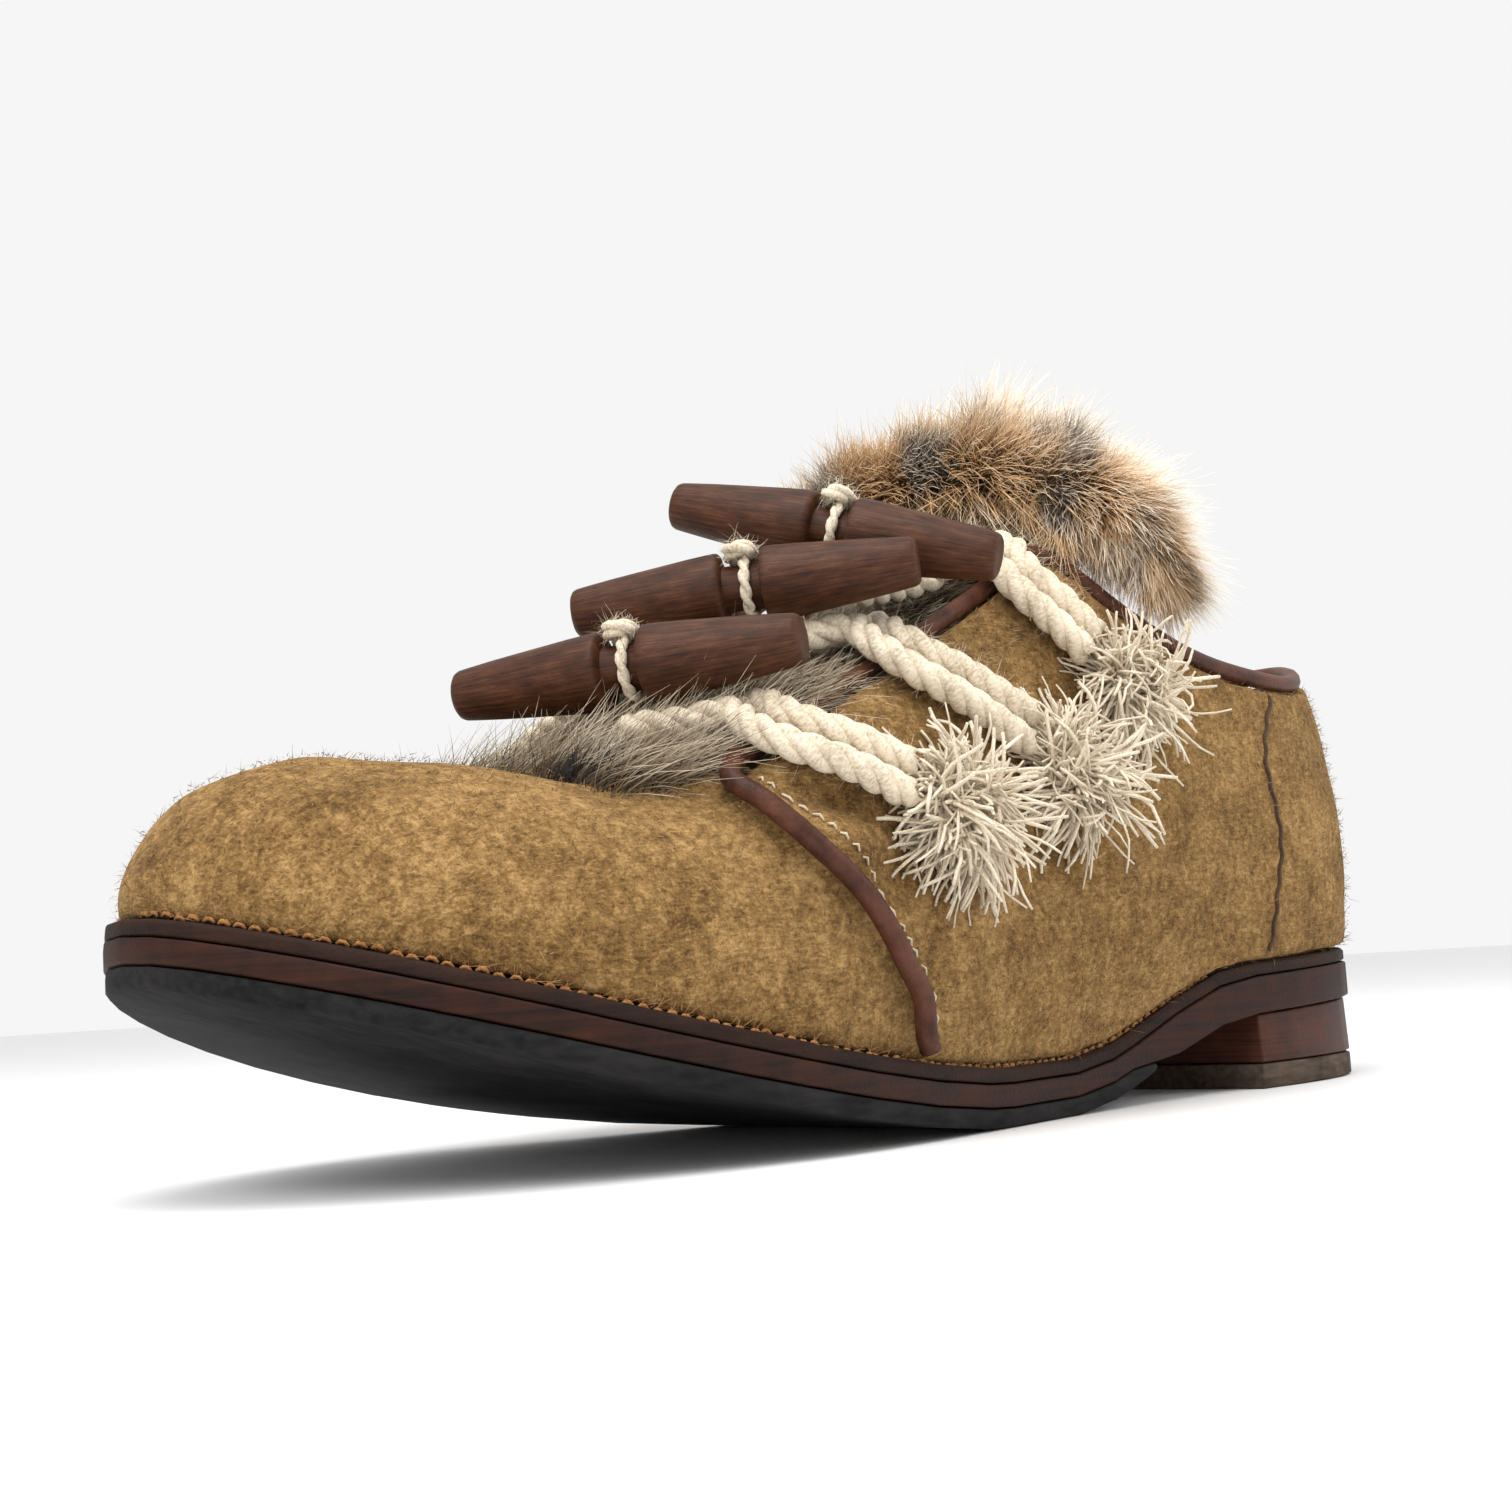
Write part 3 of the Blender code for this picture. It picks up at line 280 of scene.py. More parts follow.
@dataclass(frozen=True)
class FeltFinish:
    """Thick mottled wool felt."""

    dark: Colour = (0.072, 0.034, 0.011)
    middle: Colour = (0.195, 0.107, 0.036)
    light: Colour = (0.400, 0.245, 0.098)

    def material(self) -> bpy.types.Material:
        """Builds the felt's material.

        Returns:
            The material.
        """
        g = Graph("mottled wool felt")
        cloud = g.noise(75.0, 3.0, 0.6, 0.4)
        mottle = g.noise(520.0, 3.0, 0.72, 0.2)
        first = g.noise(2100.0, 2.0, 0.6, 0.5, g.scaled((1.0, 0.22, 1.0), (0.4, 0.8, 0.2)))
        second = g.noise(2300.0, 2.0, 0.6, 0.5, g.scaled((0.20, 1.0, 0.8), (0.9, -0.5, 0.7)))
        fibres = g.math("MULTIPLY", g.math("ADD", first, second), 0.5)
        value = g.blend(cloud, 0.25, mottle, 0.35)
        value = g.math("ADD", value, g.math("MULTIPLY", fibres, 0.40))
        g.colour(g.ramp(value, [(0.40, self.dark), (0.50, self.middle), (0.62, self.light)]))
        g.bump(mottle, 0.0007, 0.5)
        g.bump(fibres, 0.0005, 0.8)
        g.set(gloss=0.08, Roughness=0.97)
        g.set(Sheen_Weight=0.12, Sheen_Roughness=0.7, Sheen_Tint=(0.80, 0.60, 0.32))
        return g.material


@dataclass(frozen=True)
class LeatherFinish:
    """Leather, with grain, wear and gloss."""

    name: str
    dark: Colour
    light: Colour
    rough: float = 0.45
    grain: float = 0.00012
    layers: float = 0.0
    gloss: float = 0.16

    def material(self) -> bpy.types.Material:
        """Builds the leather's material.

        Returns:
            The material.
        """
        g = Graph(self.name)
        wear = g.noise(140.0, 4.0, 0.6)
        if self.layers:
            long = g.noise(260.0, 3.0, 0.6, 0.4, g.scaled((0.12, 0.12, self.layers)))
            wear = g.blend(wear, 0.45, long, 0.55)
        g.colour(g.ramp(wear, [(0.34, self.dark), (0.68, self.light)]))
        g.link(g.math("MULTIPLY_ADD", wear, 0.35, self.rough - 0.17), g.shader.inputs["Roughness"])
        g.bump(g.noise(1500.0, 3.0, 0.6), self.grain)
        g.set(gloss=self.gloss)
        return g.material


@dataclass(frozen=True)
class RubberFinish:
    """Rubber that has been walked on: dull, with scuffs and dust."""

    name: str
    dark: Colour
    light: Colour

    def material(self) -> bpy.types.Material:
        """Builds the rubber's material.

        Returns:
            The material.
        """
        g = Graph(self.name)
        dust = g.noise(60.0, 5.0, 0.65, 0.5)
        scuff = g.noise(700.0, 2.0, 0.5, 0.3, g.scaled((0.15, 1.0, 1.0), (0.0, 0.0, 0.5)))
        value = g.blend(dust, 0.6, scuff, 0.4)
        g.colour(g.ramp(value, [(0.36, self.dark), (0.66, self.light)]))
        g.bump(scuff, 0.0002, 0.5)
        g.bump(g.noise(2400.0, 2.0), 0.0001, 0.5)
        g.set(gloss=0.15, Roughness=0.85)
        return g.material


@dataclass(frozen=True)
class WoodFinish:
    """Stained, turned wood with its grain along the toggle."""

    dark: Colour = (0.020, 0.006, 0.003)
    middle: Colour = (0.056, 0.018, 0.007)
    light: Colour = (0.112, 0.042, 0.017)

    def material(self) -> bpy.types.Material:
        """Builds the wood's material.

        Returns:
            The material.
        """
        g = Graph("stained toggle wood")
        along = g.along_piece()
        broad = g.noise(9.0, 3.0, 0.6, 0.3, along)
        grain = g.noise(1.0, 5.0, 0.65, 0.6, g.scaled((7.0, 70.0, 1.0), place=along))
        pores = g.noise(1.0, 2.0, 0.5, 0.0, g.scaled((60.0, 330.0, 1.0), place=along))
        value = g.blend(grain, 0.62, broad, 0.38)
        colour = g.ramp(value, [(0.36, self.dark), (0.50, self.middle), (0.66, self.light)])
        holes = g.ramp(pores, [(0.30, (0.35, 0.35, 0.35)), (0.42, (1.0, 1.0, 1.0))])
        g.colour(g.mix(0.7, colour, holes, "MULTIPLY"))
        g.bump(pores, 0.00010, 0.6)
        g.set(gloss=0.20, Roughness=0.50)
        return g.material


@dataclass(frozen=True)
class CottonFinish:
    """Natural unbleached cotton."""

    name: str
    dark: Colour = (0.360, 0.275, 0.180)
    light: Colour = (0.780, 0.680, 0.530)
    twist: float = 1.0

    def material(self) -> bpy.types.Material:
        """Builds the cotton's material.

        Returns:
            The material.
        """
        g = Graph(self.name)
        along = g.along_piece()
        yarn = g.noise(1.0, 2.0, 0.5, 0.2, g.scaled((240.0, 9.0, 1.0), (0.0, 0.0, 0.25 * self.twist), along))
        soil = g.noise(160.0, 3.0, 0.6)
        value = g.blend(yarn, 0.55, soil, 0.45)
        g.colour(g.ramp(value, [(0.28, self.dark), (0.56, self.light)]))
        g.bump(yarn, 0.0003, 0.8)
        g.set(gloss=0.15, Roughness=0.92)
        g.set(Sheen_Weight=0.1, Sheen_Roughness=0.6, Sheen_Tint=(1.0, 0.95, 0.85))
        return g.material


@dataclass(frozen=True)
class HairFinish:
    """Fur or fibres whose colour changes from root to tip and from hair to hair."""

    name: str
    root: Colour
    middle: Colour
    tip: Colour
    pale: Colour
    patch: Colour = (0.10, 0.085, 0.075)
    patches: float = 0.0

    def material(self) -> bpy.types.Material:
        """Builds the hair's material.

        Returns:
            The material.
        """
        g = Graph(self.name)
        length = g.attribute("root_to_tip")
        shade = g.attribute("hair_shade")
        colour = g.ramp(length, [(0.05, self.root), (0.50, self.middle), (0.85, self.tip)])
        pale = g.ramp(length, [(0.05, self.root), (0.45, self.tip), (0.80, self.pale)])
        colour = g.mix(shade, colour, pale)
        if self.patches:
            grey = g.ramp(length, [(0.05, self.root), (0.55, self.patch), (0.90, self.pale)])
            where = g.math("MULTIPLY_ADD", g.noise(75.0, 2.0, 0.5), 7.0, -3.5 + self.patches)
            where.node.use_clamp = True
            colour = g.mix(where, colour, grey)
        g.colour(colour)
        g.set(gloss=0.15, Roughness=0.7)
        return g.material


def merged_copy(node: str) -> bmesh.types.BMesh:
    """A closed copy of a solid of the frame, with its loose triangles joined.

    Args:
        node: Name of the solid.

    Returns:
        The copy, whose faces point out.
    """
    bm = bmesh.new()
    bm.from_mesh(bpy.data.objects[node].data)
    bmesh.ops.remove_doubles(bm, verts=bm.verts, dist=2e-5)
    bmesh.ops.recalc_face_normals(bm, faces=bm.faces)
    return bm


def to_mesh(name: str, bm: bmesh.types.BMesh) -> bpy.types.Mesh:
    """Turns a bmesh into a mesh and frees it.

    Args:
        name: The mesh's name.
        bm: The bmesh.

    Returns:
        The mesh.
    """
    mesh = bpy.data.meshes.new(name)
    bm.to_mesh(mesh)
    bm.free()
    return mesh


def into_scene(name: str, data: bpy.types.ID) -> bpy.types.Object:
    """Puts a new object into the scene.

    Args:
        name: The object's name.
        data: Its mesh, light or camera.

    Returns:
        The object.
    """
    thing = bpy.data.objects.new(name, data)
    bpy.context.scene.collection.objects.link(thing)
    return thing


def place_piece(mesh: bpy.types.Mesh, material: bpy.types.Material, slot: str,
                *nodes: str) -> bpy.types.Object:
    """Adds a mesh to the scene as a piece of the same name, riding on the shoe.

    Args:
        mesh: Its mesh.
        material: Its finish.
        slot: Not used.
        nodes: Solids that the piece stands for.

    Returns:
        The piece.
    """
    mesh.materials.append(material)
    mesh.shade_smooth()
    piece = into_scene(mesh.name, mesh)
    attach(piece, BODY)
    if nodes:
        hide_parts(*nodes)
    LOG.info("%s: %d faces", piece.name, len(mesh.polygons))
    return piece


def unit(rows: np.ndarray) -> np.ndarray:
    """Rows scaled to a length of 1."""
    return rows / np.linalg.norm(rows, axis=1)[:, None]


def ways_along(line: np.ndarray) -> np.ndarray:
    """The way that a line runs in at each of its points."""
    return unit(np.gradient(line, axis=0))


def gone_along(line: np.ndarray) -> np.ndarray:
    """Distance from a line's start to each of its points."""
    return np.concatenate([[0.0], np.cumsum(np.linalg.norm(np.diff(line, axis=0), axis=1))])


def middle_and_way(node: str) -> tuple[np.ndarray, Vector]:
    """The middle of a solid of the frame, and the way that its long side runs.

    Args:
        node: Name of the solid.

    Returns:
        The middle and the way.
    """
    points = np.array([v.co[:] for v in bpy.data.objects[node].data.vertices])
    way = np.linalg.svd(points - points.mean(axis=0), full_matrices=False)[2][0]
    return (points.max(axis=0) + points.min(axis=0)) / 2, Vector(way)


def spread(line: np.ndarray, step: float) -> np.ndarray:
    """Smooth points along a line at an even step.

    Args:
        line: Points of the line.
        step: Distance between the new points.

    Returns:
        The new points, ends included.
    """
    padded = np.vstack([2 * line[0] - line[1], line, 2 * line[-1] - line[-2]])
    dense = []
    for p0, p1, p2, p3 in zip(padded, padded[1:], padded[2:], padded[3:]):
        t = np.linspace(0.0, 1.0, 8, endpoint=False)[:, None]
        dense.append(0.5 * (2 * p1 + (p2 - p0) * t + (2 * p0 - 5 * p1 + 4 * p2 - p3) * t**2
                            + (3 * p1 - p0 - 3 * p2 + p3) * t**3))
    dense = np.vstack([*dense, line[-1:]])
    gone = gone_along(dense[:, :3])
    count = max(2, int(round(gone[-1] / step)) + 1)
    places = np.linspace(0.0, gone[-1], count)
    return np.stack([np.interp(places, gone, dense[:, axis]) for axis in range(line.shape[1])], axis=1)


def tube_line(node: str) -> tuple[np.ndarray, np.ndarray]:
    """Middle line and radii of a tube of the frame, read ring by ring from one end.

    Args:
        node: Name of the tube.

    Returns:
        The ring centres and the rings' radii.
    """
    bm = merged_copy(node)
    bm.verts.ensure_lookup_table()

    def layers(start: list[bmesh.types.BMVert]) -> list[list[bmesh.types.BMVert]]:
        """Vertices in steps of edges away from the first ones.

        Args:
            start: The first vertices.

        Returns:
            A list of vertices for each step.
        """
        seen = set(start)
        found = [list(start)]
        while found[-1]:
            ahead = {edge.other_vert(v) for v in found[-1] for edge in v.link_edges} - seen
            seen |= ahead
            found.append(list(ahead))
        return found[:-1]

    def flat_patch(first: bmesh.types.BMFace) -> list[bmesh.types.BMVert]:
        """Vertices of the faces that lie in one plane with a face.

        Args:
            first: The face.

        Returns:
            The vertices.
        """
        patch = {first}
        front = [first]
        while front:
            face = front.pop()
            for other in (f for edge in face.edges for f in edge.link_faces if f not in patch):
                if other.normal.dot(first.normal) > 0.9999:
                    patch.add(other)
                    front.append(other)
        return list({vert for face in patch for vert in face.verts})

    far = layers([bm.verts[0]])[-1][0]
    cap: list[bmesh.types.BMVert] = []
    for face in far.link_faces:
        near = flat_patch(face)
        centre = sum((v.co for v in near), Vector()) / len(near)
        away = [(v.co - centre).length for v in near]
        if len(near) >= 6 and max(away) - min(away) < 0.1 * max(away):
            cap = near
    rings = layers(cap)
    centres = np.array([np.mean([v.co[:] for v in ring], axis=0) for ring in rings])
    radii = np.array([np.mean([(v.co - Vector(c)).length for v in ring]) for ring, c in zip(rings, centres)])
    bm.free()
    return centres, radii


def frames_along(line: np.ndarray) -> tuple[np.ndarray, np.ndarray]:
    """Two sideways ways at each point of a line that don't twist along it.

    Args:
        line: Points of the line.

    Returns:
        The two ways, each as an array of unit vectors.
    """
    run = ways_along(line)
    first = np.cross(run[0], [0.0, 0.0, 1.0] if abs(run[0][2]) < 0.9 else [1.0, 0.0, 0.0])
    sides = []
    for way in run:
        first = first - way * (first @ way)
        first /= np.linalg.norm(first)
        sides.append(first)
    sides = np.array(sides)
    return sides, np.cross(run, sides)


def tube_mesh(name: str, lines: list[tuple[np.ndarray, np.ndarray]], sides: int) -> bpy.types.Mesh:
    """One mesh of closed round tubes, with a UV map along each.

    Args:
        name: The mesh's name.
        lines: For each tube its points and its radius at each.
        sides: Sides of each tube.

    Returns:
        The mesh.
    """
    bm = bmesh.new()
    layer = bm.loops.layers.uv.new("along")
    turns = np.arange(sides) * math.tau / sides
    for number, (line, radii) in enumerate(lines):
        one, two = frames_along(line)
        gone = gone_along(line) + UV_SHIFT * number
        rings = []
        for point, radius, a, b in zip(line, radii, one, two):
            rings.append([bm.verts.new(point + radius * (math.cos(t) * a + math.sin(t) * b)) for t in turns])
        for i, (ring, ahead) in enumerate(zip(rings, rings[1:])):
            for k in range(sides):
                j = (k + 1) % sides
                face = bm.faces.new((ring[k], ring[j], ahead[j], ahead[k]))
                corners = ((gone[i], k), (gone[i], k + 1), (gone[i + 1], k + 1), (gone[i + 1], k))
                for loop, (u, v) in zip(face.loops, corners):
                    loop[layer].uv = (u * UV_PER_METRE, v / sides)
        bm.faces.new(rings[0][::-1])
        bm.faces.new(rings[-1])
    return to_mesh(name, bm)


def hair_mesh(name: str, roots: np.ndarray, ways: np.ndarray, lengths: np.ndarray, bend: np.ndarray,
              width: float, shades: np.ndarray, steps: int = 4) -> bpy.types.Mesh:
    """One mesh of tapering, curving flat hairs, with each hair's shade and place along it.

    Args:
        name: The mesh's name.
        roots: Where each hair starts.
        ways: The way that each starts in.
        lengths: Length of each.
        bend: Sideways pull on each, as a share of its length.
        width: Width at the root.
        shades: Value between 0 and 1 for each hair.
        steps: Joints along a hair.

    Returns:
        The mesh.
    """
    count = len(roots)
    t = np.linspace(0.0, 1.0, steps + 1)
    reach = ways[:, None] * t[None, :, None] + bend[:, None] * (t**2)[None, :, None]
    spine = roots[:, None] + lengths[:, None, None] * reach
    across = np.cross(ways + 0.5 * bend, np.roll(ways, 1, axis=1) + 0.3)
    across /= np.maximum(np.linalg.norm(across, axis=1), 1e-9)[:, None]
    half = 0.5 * width * (1.0 - 0.85 * t**1.5)
    left = spine + across[:, None] * half[None, :, None]
    right = spine - across[:, None] * half[None, :, None]
    points = np.stack([left, right], axis=2).reshape(-1, 3)
    base = np.arange(count)[:, None] * 2 * (steps + 1) + 2 * np.arange(steps)[None]
    faces = np.stack([base, base + 1, base + 3, base + 2], axis=2).reshape(-1, 4)
    mesh = bpy.data.meshes.new(name)
    mesh.from_pydata(points.tolist(), [], faces.tolist())
    along = np.tile(np.repeat(t, 2), count)
    for label, values in (("root_to_tip", along), ("hair_shade", np.repeat(shades, 2 * (steps + 1)))):
        mesh.attributes.new(label, "FLOAT", "POINT").data.foreach_set("value", values.astype(np.float32))
    return mesh


def clumps(roots: np.ndarray, first: Triple, second: Triple) -> np.ndarray:
    """Values from -1 to 1 that hairs close together share.

    Args:
        roots: Where each hair starts.
        first: Waves per metre, times tau, of one wave.
        second: The same of the wave that crosses it.

    Returns:
        A value for each hair.
    """
    return np.sin(roots @ np.array(first)) * np.sin(roots @ np.array(second))


@dataclass
class SoleUnit:
    """Rubber half sole, leather outsole, welt, stacked heel, top lift and insole."""

    edge_round: float = 0.0005
    stitch_step: float = 0.0026
    stitch_inset: float = 0.0021
    stitch_radius: float = 0.00042
    stitched: tuple[float, float] = (-0.2672, -0.045)
    felt_reach: float = 0.004
    fibres_each: int = 9

    def build(self) -> None:
        """Dresses the pieces under the foot."""
        for node, slot, finish in (
            ("rubber_half_sole", "rubber",
             RubberFinish("worn half sole rubber", (0.005, 0.005, 0.005), (0.023, 0.021, 0.021))),
            ("leather_outsole", "sole_leather",
             LeatherFinish("outsole edge leather", (0.007, 0.003, 0.002), (0.046, 0.013, 0.006), 0.58,
                           layers=4.0)),
            ("welt", "welt_leather",
             LeatherFinish("welt leather", (0.007, 0.003, 0.002), (0.034, 0.013, 0.007), 0.68, 0.0002, 3.0)),
            ("heel_stack", "heel_leather",
             LeatherFinish("stacked heel leather", (0.022, 0.007, 0.004), (0.088, 0.028, 0.015), 0.50,
                           layers=7.0)),
            ("top_lift", "lift",
             RubberFinish("heel lift rubber", (0.045, 0.030, 0.022), (0.125, 0.090, 0.065))),
            ("insole", "insole_leather",
             LeatherFinish("insole leather", (0.150, 0.080, 0.042), (0.330, 0.205, 0.120), 0.6)),
        ):
            bm = merged_copy(node)
            bmesh.ops.dissolve_limit(bm, angle_limit=math.radians(0.4), verts=bm.verts, edges=bm.edges)
            sharp = [edge for edge in bm.edges
                     if edge.is_manifold and edge.calc_face_angle(0.0) > math.radians(50)]
            bmesh.ops.bevel(bm, geom=sharp, offset=self.edge_round, offset_type="OFFSET", affect="EDGES",
                            segments=2, profile=0.5, material=-1, clamp_overlap=True)
            bmesh.ops.triangulate(bm, faces=[face for face in bm.faces if len(face.verts) > 4])
            piece = place_piece(to_mesh(node + "_dressed", bm), finish.material(), slot, node)
            piece.data.set_sharp_from_angle(angle=math.radians(38))

    def outline(self, inset: float) -> dict[Side, np.ndarray]:
        """Lines along the welt's top, inside its edge.

        Args:
            inset: Distance in from the edge.

        Returns:
            For each side the points from heel to toe.
        """
        bm = merged_copy("leather_outsole")
        top: dict[tuple[float, float], Vector] = {}
        for vert in bm.verts:
            key = (round(vert.co.x, 5), round(vert.co.y, 5))
            if key not in top or top[key].z < vert.co.z:
                top[key] = vert.co.copy()
        bm.free()
        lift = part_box("welt")[1].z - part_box("leather_outsole")[1].z
        lines = {}
        for side in Side:
            half = [p for p in top.values() if p.y * side.value >= -1e-6]
            half.sort(key=lambda p: -p.x)
            line = spread(np.array([p[:] for p in half]), 0.002)
            run = ways_along(line[:, :2])
            inward = np.stack([run[:, 1], -run[:, 0]], axis=1) * -side.value
            line[:, :2] += inward * inset
            line[:, 2] += lift
            lines[side] = line
        return lines

    def stitches(self, upper: "FeltUpper") -> None:
        """Fuzzy rust-coloured stitches round the welt's inner edge, from waist to waist.

        Args:
            upper: The felt that they run beside.
        """
        rng = np.random.default_rng(5)
        lines = []
        for line in self.outline(self.stitch_inset).values():
            for point in line:
                spot = upper.on_felt(point)
                if np.linalg.norm(spot - point) < self.felt_reach:
                    point[:2] = spot[:2] + 0.4 * (point[:2] - spot[:2])
            line = spread(line, self.stitch_step / 4)
            front = line[(line[:, 0] < self.stitched[1]) & (line[:, 0] > self.stitched[0])]
            for start in range(0, len(front) - 4, 4):
                bit = front[start : start + 4].copy()
                bit[:, 2] += np.array([0.0001, 0.0006, 0.0006, 0.0001]) + rng.normal(0, 0.00012)
                bit[:, :2] += rng.normal(0, 0.00012, 2)
                radius = self.stitch_radius * rng.uniform(0.8, 1.15)
                lines.append((bit, radius * np.array([0.6, 1.0, 1.0, 0.6])))
        finish = CottonFinish("rust welt thread", (0.120, 0.045, 0.012), (0.400, 0.180, 0.055))
        place_piece(tube_mesh("welt_stitches", lines, 6), finish.material(), "welt_leather")
        roots = np.array([line[1 + int(rng.integers(2))]
                          for line, _ in lines for _ in range(self.fibres_each)])
        ways = rng.normal(0, 1, roots.shape)
        ways[:, 2] = np.abs(ways[:, 2]) * 0.8 + 0.2
        fuzz = hair_mesh("welt_fuzz", roots, unit(ways), rng.uniform(0.0008, 0.0026, len(roots)),
                         rng.normal(0, 0.5, roots.shape), 0.00012, rng.uniform(0, 1, len(roots)), 3)
        finish = HairFinish("rust fibres", (0.160, 0.062, 0.018), (0.260, 0.115, 0.035),
                            (0.380, 0.190, 0.070), (0.500, 0.300, 0.130))
        place_piece(fuzz, finish.material(), "welt_leather")


@dataclass(frozen=True)
class Fold:
    """A soft trough or ridge in the felt: two ends, half width, and depth that is negative on a ridge."""

    start: Triple
    end: Triple
    width: float
    depth: float


@dataclass
class FeltUpper:
    """The felt upper with its folds, counter seams and nap."""

    grain: float = 0.0013
    fibres: int = 26000
    foot_middle: tuple[float, float] = (-0.225, -0.015)
    foot_height: float = 0.045
    folds: tuple[Fold, ...] = (
        Fold((-0.1700, -0.0458, 0.0602), (-0.1570, -0.0482, 0.0570), 0.0034, 0.0026),
        Fold((-0.1716, -0.0489, 0.0535), (-0.1540, -0.0492, 0.0495), 0.0042, -0.0014),
        Fold((-0.136, -0.052, 0.060), (-0.158, -0.051, 0.040), 0.0050, 0.0012),
        Fold((-0.128, -0.050, 0.070), (-0.122, -0.046, 0.048), 0.0060, 0.0010),
        Fold((-0.150, -0.053, 0.048), (-0.140, -0.052, 0.026), 0.0060, 0.0008),
        Fold((-0.088, -0.036, 0.084), (-0.070, -0.036, 0.062), 0.0080, 0.0012),
        Fold((-0.100, -0.040, 0.050), (-0.086, -0.038, 0.034), 0.0090, 0.0010),
        Fold((-0.136, 0.050, 0.060), (-0.162, 0.051, 0.042), 0.0050, 0.0014),
        Fold((-0.100, 0.036, 0.070), (-0.084, 0.036, 0.046), 0.0080, 0.0012),
        Fold((-0.196, -0.030, 0.062), (-0.200, 0.024, 0.064), 0.0100, 0.0014),
        Fold((-0.246, -0.016, 0.053), (-0.238, 0.026, 0.058), 0.0160, -0.0038),
    )
    surface: BVHTree = field(init=False)

    def build(self) -> None:
        """Makes the felt wall from the frame's upper, softly rounded and folded."""
        rough = into_scene("felt_rough", to_mesh("felt_rough", merged_copy("upper")))
        again = rough.modifiers.new("even", "REMESH")
        again.mode = "VOXEL"
        again.voxel_size = self.grain
        again.adaptivity = 0.0
        evaluated = rough.evaluated_get(bpy.context.evaluated_depsgraph_get())
        even = bpy.data.meshes.new_from_object(evaluated)
        bpy.data.objects.remove(rough)
        bm = bmesh.new()
        bm.from_mesh(even)
        for _ in range(3):
            bmesh.ops.smooth_vert(bm, verts=bm.verts, factor=0.5,
                                  use_axis_x=True, use_axis_y=True, use_axis_z=True)
        bm.normal_update()
        self.shape(bm)
        self.surface = BVHTree.FromBMesh(bm)
        place_piece(to_mesh("felt_upper", bm), FeltFinish().material(), "felt", "upper")

    def shape(self, bm: bmesh.types.BMesh) -> None:
        """Moves the felt's points for its folds and uneven thickness.

        Args:
            bm: The felt's mesh.
        """
        points = np.array([v.co[:] for v in bm.verts])
        normals = np.array([v.normal[:] for v in bm.verts])
        push = np.zeros(len(points))
        for fold in self.folds:
            start, end = np.array(fold.start), np.array(fold.end)
            way = end - start
            share = np.clip((points - start) @ way / (way @ way), 0, 1)
            away = np.linalg.norm(points - start - share[:, None] * way, axis=1)
            swell = np.sin(math.pi * np.clip(share, 0.08, 0.92)) ** 0.5
            push -= fold.depth * np.exp(-((away / fold.width) ** 2)) * swell
        x, y, z = points.T
        push += 0.00022 * np.sin(170 * x + 3 * np.sin(90 * z)) * np.sin(150 * z + 2 * np.sin(120 * y))
        outside = np.sign(normals[:, 1] * y + normals[:, 2] * (z - self.foot_height)
                          + normals[:, 0] * 0.2 * (x + 0.12))
        points += (normals * outside[:, None]) * push[:, None]
        for vert, place in zip(bm.verts, points):
            vert.co = place

    def on_felt(self, point: np.ndarray, proud: float = 0.0) -> np.ndarray:
        """The nearest place on the felt's surface.

        Args:
            point: A place near it.
            proud: Distance outside it.

        Returns:
            The place.
        """
        spot, normal, _, _ = self.surface.find_nearest(Vector(point))
        return np.array(spot + normal * proud)

    def counter_seam(self) -> None:
        """Dark wavy seam down each side of the heel counter."""
        lines = []
        for side in Side:
            seam = np.array([
                (-0.0127, side.value * 0.0275, 0.0868), (-0.0180, side.value * 0.033, 0.0780),
                (-0.0221, side.value * 0.035, 0.0690), (-0.0204, side.value * 0.035, 0.0574),
                (-0.0219, side.value * 0.035, 0.0458), (-0.0265, side.value * 0.034, 0.0288),
            ])
            seam = spread(seam, 0.0012)
            number = np.arange(len(seam))
            seam[:, 0] += 0.0004 * np.sin(number * 1.3) + 0.0003 * np.sin(number * 0.41)
            seam = np.array([self.on_felt(p, 0.0001) for p in seam])
            lines.append((seam, np.full(len(seam), 0.00055)))
        finish = CottonFinish("dark seam thread", (0.018, 0.010, 0.006), (0.070, 0.036, 0.018))
        place_piece(tube_mesh("counter_seams", lines, 6), finish.material(), "felt")

    def nap(self) -> None:
        """Short loose wool fibres all over the outside."""
        rng = np.random.default_rng(3)
        count = self.fibres
        faces = bpy.data.objects["felt_upper"].data.polygons
        centres, normals = np.empty(len(faces) * 3), np.empty(len(faces) * 3)
        faces.foreach_get("center", centres)
        faces.foreach_get("normal", normals)
        centres, normals = centres.reshape(-1, 3), normals.reshape(-1, 3)
        middle = np.zeros(centres.shape)
        middle[:, 0] = np.clip(centres[:, 0], *self.foot_middle)
        middle[:, 2] = self.foot_height
        outside = np.nonzero(np.sum(normals * (centres - middle), axis=1) > 0.004)[0]
        picked = rng.choice(outside, count)
        roots = centres[picked] + rng.normal(0, 0.0005, (count, 3))
        ways = unit(normals[picked] * 0.42 + rng.normal(0, 0.6, (count, 3)))
        hairs = hair_mesh("wool_nap", roots, ways, rng.uniform(0.0005, 0.0014, count),
                          rng.normal(0, 0.5, (count, 3)), 0.00014, rng.uniform(0, 1, count) ** 1.2, 3)
        finish = HairFinish("loose wool fibres", (0.065, 0.031, 0.010), (0.140, 0.074, 0.024),
                            (0.215, 0.122, 0.043), (0.600, 0.405, 0.190))
        place_piece(hairs, finish.material(), "felt")


